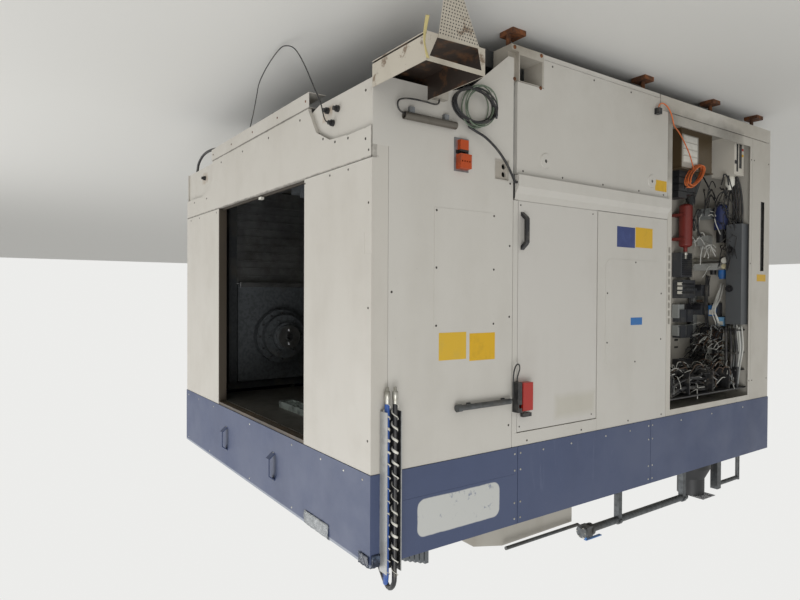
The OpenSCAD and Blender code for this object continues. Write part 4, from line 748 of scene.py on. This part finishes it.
# %% Rivets of the blue band
band_rivets = [(-4, s + d, h) for s in (1019, 2364) for d in (-24, 24) for h in (2505, 2602, 2793, 2886)]
band_rivets += [(-4, b, 2512) for b in (1240, 1500, 1850, 2120, 2760, 3200, 3700)] + [(-4, 170, 2860)]
heads("band_rivet_heads", band_rivets, 13, 3, TO_SIDE, zinc_bright)
heads("front_rivet_heads", [(a, -4, h) for a in (70, 260, 520, 900, 1600, 2400, 2800,
        3100) for h in (2500,)]
      + [(a, -4, 2885) for a in (70, 900, 1600, 2500, 3100)], 13, 3, TO_FRONT, zinc_bright)
heads("handle_bolt_heads", [(a, -6, h) for a in (1178, 2086) for h in (2611, 2785)], 12, 3, TO_FRONT,
        zinc_bright)

# %% Screws on the front
skirt_screws = [(234, 761), (373, 753), (511, 709), (806, 538), (1282, 544), (1761, 543), (2230, 540),
        (2600, 780),
                (2950, 775), (60, 800), (60, 560)]
heads("skirt_screw_heads", [(a, 0, h) for a, h in skirt_screws], 15, 3, TO_FRONT, dark_screw)
heads("front_screw_heads", [(30, 0, 860), (30, 0, 1120), (30, 0, 1640), (30, 0, 2300), (230, 0, 925),
        (430, 0, 925),
      (735, 0, 925), (2345, 0, 925), (2800, 0, 925), (3050, 0, 925)], 13, 2.5, TO_FRONT, dark_screw)
heads("rail_screw_heads", [(a, 4, 441) for a in (740, 1150, 1580, 2010, 2440)], 15, 3, TO_FRONT, rust)

# %% [markdown]
# ## Labels, tape and film
# All label fields are bare: coloured film with no print. They are plates 0.4 mm thick with round edges.

# %% Label fields
blocks("yellow_label_fields", [((-0.6, 2166, 1100), (0.2, 2370, 1240)),
        ((-0.6, 640, 1786), (0.2, 832, 1938)),
       ((-0.6, 2396, 744), (0.2, 2540, 822))], yellow_field, 0.2)
blocks("faded_label_fields", [((-0.6, 424, 1776), (0.2, 616, 1924))], faded_field, 0.2)
blocks("blue_label_fields", [((-0.6, 1957, 1106), (0.2, 2160, 1246))], blue_field, 0.2)
blocks("pillar_label_field", [((-0.6, 3926, 1390), (0.2, 4086, 1450))], yellow_field, 0.2)
blocks("tape_strips", [((-2.6, 2116, 1728), (-1.8, 2250, 1780))], blue_tape, 0.2)

# %% [markdown]
# ## Packing film
# Scraps of film still hang over the top edge. A grid is bent over the edge and crumpled with seeded noise.


# %% Film over the top edge
def draped_film(name, across_from, across_to, along_y, hang, material, seed):
    """A strip of film over the front's top edge, or over the side's when along_y is set."""
    random.seed(seed)
    rows, cols = 16, 14
    shape = bmesh.new()
    grid = []
    for i in range(rows):
        s = i / (rows - 1) * (80 + hang)
        ring = []
        for k in range(cols):
            t = across_from + (across_to - across_from) * k / (cols - 1)
            wave = 4 * math.sin(k * 1.7 + seed) + 3 * math.sin(k * 0.6 + i * 0.8) + random.uniform(-1.5,
                    1.5)
            if s < 80:
                out, up = 80 - s - 3, 2926 + max(0, wave) * 0.5
            else:
                out, up = -7 - abs(wave) * 0.9, 2926 - (s - 80)
            ring.append(shape.verts.new(place(out, t, up) if along_y else place(t, out, up)))
        grid.append(ring)
    for i in range(rows - 1):
        for k in range(cols - 1):
            shape.faces.new((grid[i][k], grid[i][k + 1], grid[i + 1][k + 1], grid[i + 1][k])).smooth = True
    piece = finished(name, mesh_of(name, shape), material)
    solid = piece.modifiers.new("thickness", "SOLIDIFY")
    solid.thickness = 0.0008
    return piece


draped_film("corner_film_side", 2, 104, True, 66, dark_film, 3)
draped_film("corner_film_front", 4, 96, False, 60, dark_film, 5)
draped_film("front_film", 420, 716, False, 84, clear_film, 8)


# %% Strap on the tray
strap_line = smooth_line([[-435.5, 8, 555], [-437, -6, 520], [-438, -14, 484], [-437, -8, 430],
        [-436, 4, 372]], 8)
shape = bmesh.new()
rungs = []
for number, p in enumerate(strap_line):
    twist = 0.5 * math.sin(number * 0.12)
    half = Vector((9 * math.sin(twist), 9 * math.cos(twist), 0))
    rungs.append([shape.verts.new(place(*(p + half * k))) for k in (-1, -0.5, 0, 0.5, 1)])
for lower, upper in zip(rungs, rungs[1:]):
    for k in range(4):
        shape.faces.new((lower[k], lower[k + 1], upper[k + 1], upper[k])).smooth = True
bmesh.ops.recalc_face_normals(shape, faces=shape.faces)
strap = finished("strap_webbing", mesh_of("strap_webbing", shape), webbing)
strap.modifiers.new("thickness", "SOLIDIFY").thickness = 0.0016
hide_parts("tray_strap")

# %% [markdown]
# ## Way cover
# Steel slats slide over each other below the spindle head. They are one mesh of slats on the root body
# with its own copy of its data, because a slat can't ride on two bodies.

# %% Way cover
cover_h0, cover_h1, slat_count = 670, 1500, 12
slat_h = (cover_h1 - cover_h0 - 2) / slat_count
slats, lips = [], []
for i in range(slat_count):
    low = cover_h0 + i * slat_h
    back = (i % 2) * 3
    slats.append(((2628 + back, 269, low), (2649.6, 1031, low + slat_h - 2)))
    lips.append(((2620.4, 269, low + slat_h - 13), (2631, 1031, low + slat_h - 1)))
way_cover = blocks("telescoping_slats", slats + lips, slat_steel, 1.5)
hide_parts("lower_way_cover")
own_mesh(way_cover)

# %% [markdown]
# ## Details of the spindle and the chamber

# %% Spindle ring and chamber fittings
ring_bolts = [(2520, 650 + 205 * math.sin(t),
        1955 + 205 * math.cos(t)) for t in [math.tau * i / 12 for i in range(12)]]
heads("ring_bolt_heads", ring_bolts, 22, 8, TO_SIDE, black_plastic, "head")
blocks("chamber_rail", [((2560, 280, 1480), (2604, 1180, 1520))], ground_steel, 3, "head")

# %% [markdown]
# ## Cabinet
# With its door gone, the cabinet shows everything: looms, finned stacks, relays, regulators and the
# hydraulic tank. Repeated fins and slots come from one Geometry Nodes row.


# %% Row of bars by Geometry Nodes
def bar_tree():
    tree, start = new_tree("bar_rows", (("Places", "Geometry"), ("Count", "Int"), ("Pitch", "Vector"),
                           ("Bar Size", "Vector"), ("Finish", "Material")), "Bars")
    line = node(tree, "GeometryNodeMeshLine", {"mode": "OFFSET"}, {"Count": start[1], "Offset": start[2]})
    bar = node(tree, "GeometryNodeMeshCube", None, {"Size": start[3]})
    row = node(tree, "GeometryNodeInstanceOnPoints", None,
               {"Points": line.outputs[0], "Instance": bar.outputs[0]})
    put = node(tree, "GeometryNodeInstanceOnPoints", None, {"Points": start[0], "Instance": row.outputs[0]})
    return end_tree(tree, put, start[4])


rows_tree = bar_tree()


def bars(name, places, count, pitch, size, material, body="root"):
    """Rows of bars. The first bar's centre lies on each place, and sizes are in millimetres."""
    return grown(name, rows_tree, places, {"Count": count, "Pitch": [x / 1000 for x in pitch],
                 "Bar Size": [x / 1000 for x in size]}, material, body)


# %% Rear wall of the cabinet
bars("stack_fins", [(249, 3738, 1872), (364, 3738, 1872)], 25, (0, 0, 14.5), (64, 12, 5), black_plastic)
blocks("stack_spine", [((288, 3745, 1900), (326, 3820, 2250))], grey_plastic, 3)
bars("spine_ribs", [(307, 3742, 1906)], 28, (0, 0, 12.2), (34, 8, 4), white_plastic)
bars("comb_teeth", [(116, 3776, 1922)], 18, (0, 0, 15.4), (26, 40, 6), white_plastic)
blocks("comb_back", [((104, 3790, 1915), (130, 3822, 2195))], white_plastic, 2)
blocks("upright_trunking", [((462, 3760, 1500), (496, 3820, 2240))], grey_plastic, 3)
bars("trunking_slots", [(479, 3757, 1512)], 48, (0, 0, 15), (30, 8, 7), dark_plastic)
blocks("pale_blue_unit", [((186, 3752, 1764), (250, 3800, 1842))], pale_blue_plastic, 4)
blocks("blue_relay", [((258, 3740, 1662), (320, 3800, 1756))], blue_plastic, 4)
blocks("relay_faces", [((264, 3736, 1700), (312, 3742, 1744)), ((194, 3748, 1800), (240, 3754, 1832))],
        white_plastic, 2)
blocks("dark_drives", [((378, 3738, 1664), (476, 3800, 1750)), ((378, 3738, 1490), (476, 3800, 1580))],
        dark_plastic, 4)
bars("drive_vents", [(390, 3736, 1676), (390, 3736, 1502)], 7, (12, 0, 0), (5, 6, 56), black_plastic)
bars("small_connectors", [(392, 3760, 1624)], 4, (12, 0, 0), (9, 26, 14), brown_jacket)

# %% Back wall of the cabinet
blocks("grey_modules", [((430, 3450 + i * 62, 1836), (492, 3506 + i * 62, 1932)) for i in range(4)],
        grey_plastic, 4)
bars("module_terminals", [(428, 3458 + i * 62, 1850) for i in range(4)], 4, (0, 12, 0), (6, 8, 10),
        dark_plastic)
blocks("grey_panel_unit", [((430, 3448, 1654), (492, 3548, 1776))], grey_plastic, 4)
blocks("dark_contactor", [((436, 3574, 1648), (492, 3662, 1758))], black_plastic, 4)
bars("terminal_cluster", [(420, 3456, 1474), (420, 3456, 1512), (420, 3456, 1550)], 9, (0, 22, 0),
        (40, 16, 26),
     white_plastic)
bars("terminal_cluster_caps", [(398, 3456, 1474), (398, 3456, 1550)], 9, (0, 22, 0), (8, 12, 16),
        black_plastic)
blocks("louvre_module", [((404, 3446, 1200), (492, 3620, 1414))], dark_plastic, 5)
bars("louvre_blades", [(402, 3533, 1222)], 10, (0, 0, 19), (10, 150, 9), black_plastic)
blocks("plate_slots", [((493, 3500, 2030), (495, 3560, 2046)), ((493, 3500, 1965), (495, 3560, 1981))],
        black_plastic, 1)

# %% Air and hydraulic pieces
turned("gauge_face", [(164, 3699, 1272)], "y", [[(-0.6, 26), (1, 26)]], white_plastic)
bars("motor_ribs", [(302, 3752, 850)], 12, (9.4, 0, 0), (4, 92, 92), grey_plastic)
tubes("manifold_pipes", [([(40, 3790, 1262), (200, 3786, 1262), (360, 3786, 1258), (490, 3786, 1258)], 24),
      ([(445, 3780, 1100), (470, 3760, 1060), (480, 3700, 990), (484, 3600, 960)], 16),
      ([(345, 3784, 1160), (345, 3784, 1210), (350, 3784, 1244)], 14),
      ([(396, 3784, 1160), (398, 3770, 1200), (410, 3760, 1230)], 14)], zinc_bright)
tubes("box_conduits", [([(50 + i * 24, 3764, 964), (50 + i * 24, 3764, 820), (60 + i * 22, 3740, 640),
      (90 + i * 22, 3700, 500), (110 + i * 26, 3660, 400)], 18) for i in range(4)], black_jacket)
turned("vessel_fittings", [(400, 3500, 1194), (400, 3500, 760)], "z",
       [[(0, 17), (6, 22), (26, 22), (30, 14), (60, 14), (64, 8)], [(0, 12), (30, 14), (44, 20)]],
       zinc_bright)
blocks("tank_plates", [((144, 3022, 300 + i * 54), (149.6, 3212, 342 + i * 54)) for i in range(4)],
        pale_field, 1)
blocks("service_slot", [((37.4, 3606, 440), (38.6, 3632, 470)), ((37.4, 3680, 300), (38.6, 3720, 500))],
        black_plastic, 0.4)
blocks("service_marks", [((38.6, 3726, 330), (39.8, 3752, 350))], red_plastic, 0.4)
blocks("service_marks_yellow", [((38.6, 3726, 380), (39.8, 3752, 400))], yellow_field, 0.4)
turned("service_bottle", [(120, 3690, 560)], "z", [[(0, 34), (4, 38), (70, 38), (96, 16), (110, 15),
        (112, 10)]], white_plastic)

# %% [markdown]
# ## Looms
# The cabinet's wires hang in bundles, with loose ends between them. Each wire is one swept tube; a seeded
# generator spreads them so that no two bundles look alike.


# %% Wires in bundles
def loom(name, path, count, d, spread, material, seed):
    random.seed(seed)
    runs = []
    for _ in range(count):
        da, db, dh = [random.gauss(0, spread) for _ in range(3)]
        runs.append(([(a + da + random.gauss(0, 4), b + db + random.gauss(0, 4),
                h + dh + random.gauss(0, 4))
                      for a, b, h in path], d))
    return tubes(name, runs, material, steps=5, sides=7)


for loom_row in (
        ("left_loom_pale", [(60, 3700, 2330), (56, 3722, 2180), (50, 3740, 2020), (56, 3735, 1840)], 11, 12,
        13, pale_jacket, 1),
        ("left_loom_grey", [(84, 3690, 2330), (76, 3716, 2160), (84, 3730, 2000), (96, 3735, 1836)], 7, 13,
        12, grey_jacket, 2),
        ("tagged_wires", [(190, 3720, 2330), (176, 3760, 2200), (196, 3766, 2050), (186, 3764, 1900)], 12,
        7, 13, pale_jacket, 3),
        ("top_loom_black", [(70, 2700, 2320), (90, 3000, 2280), (120, 3300, 2300), (160, 3560, 2250),
        (200, 3720, 2300)], 14, 15, 26, black_jacket, 4),
        ("top_loom_brown", [(110, 2700, 2300), (150, 3000, 2240), (190, 3300, 2270), (260, 3560, 2210),
        (300, 3740, 2240)], 8, 13, 24, brown_jacket, 5),
        ("top_loom_grey", [(160, 2720, 2280), (240, 3050, 2250), (300, 3350, 2230), (380, 3600, 2240),
        (440, 3740, 2200)], 9, 14, 24, grey_jacket, 6),
        ("drop_loom_black", [(320, 3740, 1860), (330, 3744, 1700), (334, 3746, 1560), (330, 3760, 1400)], 6,
        10, 8, black_jacket, 7),
        ("white_loops", [(230, 3744, 1860), (222, 3700, 1800), (246, 3690, 1700), (240, 3740, 1600),
        (230, 3780, 1480)], 5, 9, 8, pale_jacket, 8),
        ("back_loom", [(470, 3690, 1830), (460, 3694, 1700), (470, 3690, 1560), (466, 3680, 1420)], 7, 10,
        8, black_jacket, 9),
        ("low_hoses", [(440, 3700, 990), (450, 3660, 880), (430, 3580, 760), (380, 3480, 700)], 3, 20, 12,
        black_jacket, 10),
):
    loom(*loom_row)
bars("wire_tags", [(160 + 9 * (i % 6), 3742, 1960 + 42 * i) for i in range(7)], 2, (14, 0, 0), (9, 10, 16),
        white_plastic)
bars("ochre_tags", [(172 + 9 * (i % 5), 3746, 1940 + 50 * i) for i in range(5)], 2, (12, 0, 0), (7, 8, 14),
        amber)

# %% Tangle of loose wires
def scraps(name, count, low, high, reach, d, material, seed):
    """Short loose wires at random places between two points, each bent like a lazy S."""
    random.seed(seed)
    runs = []
    for _ in range(count):
        a, b, h = [random.uniform(u, v) for u, v in zip(low, high)]
        turn, droop = random.uniform(0, math.tau), random.uniform(0.2, 1.0)
        run = []
        for k in range(5):
            t = k / 4 - 0.5
            run.append((a + reach[0] * t * math.sin(turn) + random.gauss(0, 4),
                        b + reach[1] * t * math.cos(turn) + random.gauss(0, 7),
                        h + reach[2] * (math.sin(turn * 2) * t - droop * (0.25 - t * t) * 2) + random.gauss(0, 6)))
        runs.append((run, random.uniform(0.7, 1.3) * d))
    return tubes(name, runs, material, steps=4, sides=6)


for number, (low_point, high_point) in enumerate((((50, 2700, 2170), (300, 3740, 2360)),
                                                  ((150, 3690, 1880), (440, 3755, 2230)))):
    scraps("white_scraps_%d" % number, 34, low_point, high_point, (110, 200, 110), 6, pale_jacket,
            31 + number)
    scraps("brown_scraps_%d" % number, 22, low_point, high_point, (110, 180, 120), 7, brown_jacket,
            41 + number)
    scraps("black_scraps_%d" % number, 44, low_point, high_point, (120, 240, 120), 9, black_jacket,
            51 + number)
    scraps("grey_scraps_%d" % number, 20, low_point, high_point, (100, 160, 100), 7, grey_jacket,
            61 + number)
scraps("box_wires", 26, (60, 3640, 960), (200, 3760, 1330), (60, 110, 190), 7, black_jacket, 71)
scraps("low_wires", 22, (90, 3560, 560), (430, 3740, 960), (90, 130, 240), 11, black_jacket, 72)
scraps("pale_low_wires", 12, (200, 3600, 900), (440, 3740, 1420), (90, 110, 160), 8, pale_jacket, 73)

# %% [markdown]
# ## Chute, duct and roof
# The chute's plate is studded so that wet chips don't stick; a second small tree isn't needed, because the
# domed heads do it. The white wrap round the hoses is a flat helix along each hose.

# %% Chute studs
studs = []
for row in range(17):
    h = 430 - row * 15
    t = (442 - h) / 262
    left, right = 66 + 44 * t + 8, 306 - 130 * t - 8
    count = max(2, int((right - left) / 15))
    studs += [(-433, left + (right - left) * i / count, h) for i in range(count + 1)]
heads("chute_studs", studs, 7, 1.6, TO_SIDE, black_plastic)

# %% Spiral wrap of the hoses
for number, line in enumerate(hose_lines):
    shape = bmesh.new()
    upright = [p for p in line if p[2] < 2990 and p[0] < 0]
    samples = [(upright[0] + (upright[-1] - upright[0]) * (i / 240)) for i in range(241)]
    helix = [place(*(p + Vector((14.2 * math.cos(i * 0.38), 14.2 * math.sin(i * 0.38), 0)))) for i, p in
             enumerate(samples)]
    sweep(shape, helix, 0.0075, 6, 0.22)
    finished("hose_wrap_%d" % (number + 1), mesh_of("hose_wrap", shape), white_plastic)

# %% Roof fittings
roof_bolts = [(150 + 34 * math.cos(t), b, 3195 + 34 * math.sin(t)) for b in (1799, 1903) for t in
              [math.tau * i / 6 for i in range(6)]]
heads("flange_bolt_heads", roof_bolts, 11, 5, TO_FRONT, zinc_bright)
heads("hood_screw_heads", [(a, b, 3142) for a in (240, 500, 780) for b in (1140, 1400, 1700)], 16, 4,
        TO_TOP, zinc_bright)
bars("blower_grille", [(150, 3232, 3226)], 9, (0, 22, 0), (160, 6, 5), black_plastic)

# %% [markdown]
# ## Small front pieces
# A small white block was left on the sill, and two rubber stops sit under the rail.

# %% Small front pieces
blocks("sill_block", [((1450, 14, 908), (1490, 40, 926))], white_plastic, 3)
turned("rail_stops", [(1284, 40, 372), (1644, 40, 376)], "z", [[(0, 8), (4, 13), (22, 14), (24.6, 12)]] * 2,
        black_plastic)

# %% [markdown]
# ## Floor and light
# The floor and the light are plain, so that the colours render about as they are written.

# %% Stage
floor_mesh = bpy.data.meshes.new("floor")
floor_mesh.from_pydata([(-30, -30, 0), (30, -30, 0), (30, 30, 0), (-30, 30, 0)], [], [(0, 1, 2, 3)])
floor = bpy.data.objects.new("floor", floor_mesh)
bpy.context.scene.collection.objects.link(floor)
floor_finish, coat = new_finish("pale_floor", 0.0, 0.7, "#d9d8d4")
floor_mesh.materials.append(floor_finish)

world = bpy.data.worlds.new("studio")
bpy.context.scene.world = world
world.use_nodes = True
tree = world.node_tree
back = tree.nodes["Background"]
ray = node(tree, "ShaderNodeLightPath")
seen = ray.outputs["Is Camera Ray"]
for other in ("Is Glossy Ray", "Is Transmission Ray"):
    seen = node(tree, "ShaderNodeMath", {"operation": "MAXIMUM"},
            {0: seen, 1: ray.outputs[other]}).outputs[0]
strength = node(tree, "ShaderNodeMapRange", {"To Min": 0.55, "To Max": 0.93}, {"Value": seen}).outputs[0]
back.inputs["Color"].default_value = colour("#f4f4f2")
tree.links.new(strength, back.inputs["Strength"])


def lamp(name, where, aim, size, power):
    light = bpy.data.lights.new(name, "AREA")
    light.size = size
    light.energy = power
    holder = bpy.data.objects.new(name, light)
    holder.location = where
    holder.rotation_euler = (Vector(aim) - Vector(where)).to_track_quat("-Z", "Y").to_euler()
    bpy.context.scene.collection.objects.link(holder)


lamp("key_light", (-7.5, -6.0, 6.0), (0, -0.5, 1.4), 5.0, 350)
lamp("fill_light", (3.5, -8.5, 4.5), (0.3, -2, 1.4), 5.0, 270)

bpy.context.scene.view_settings.view_transform = "Standard"
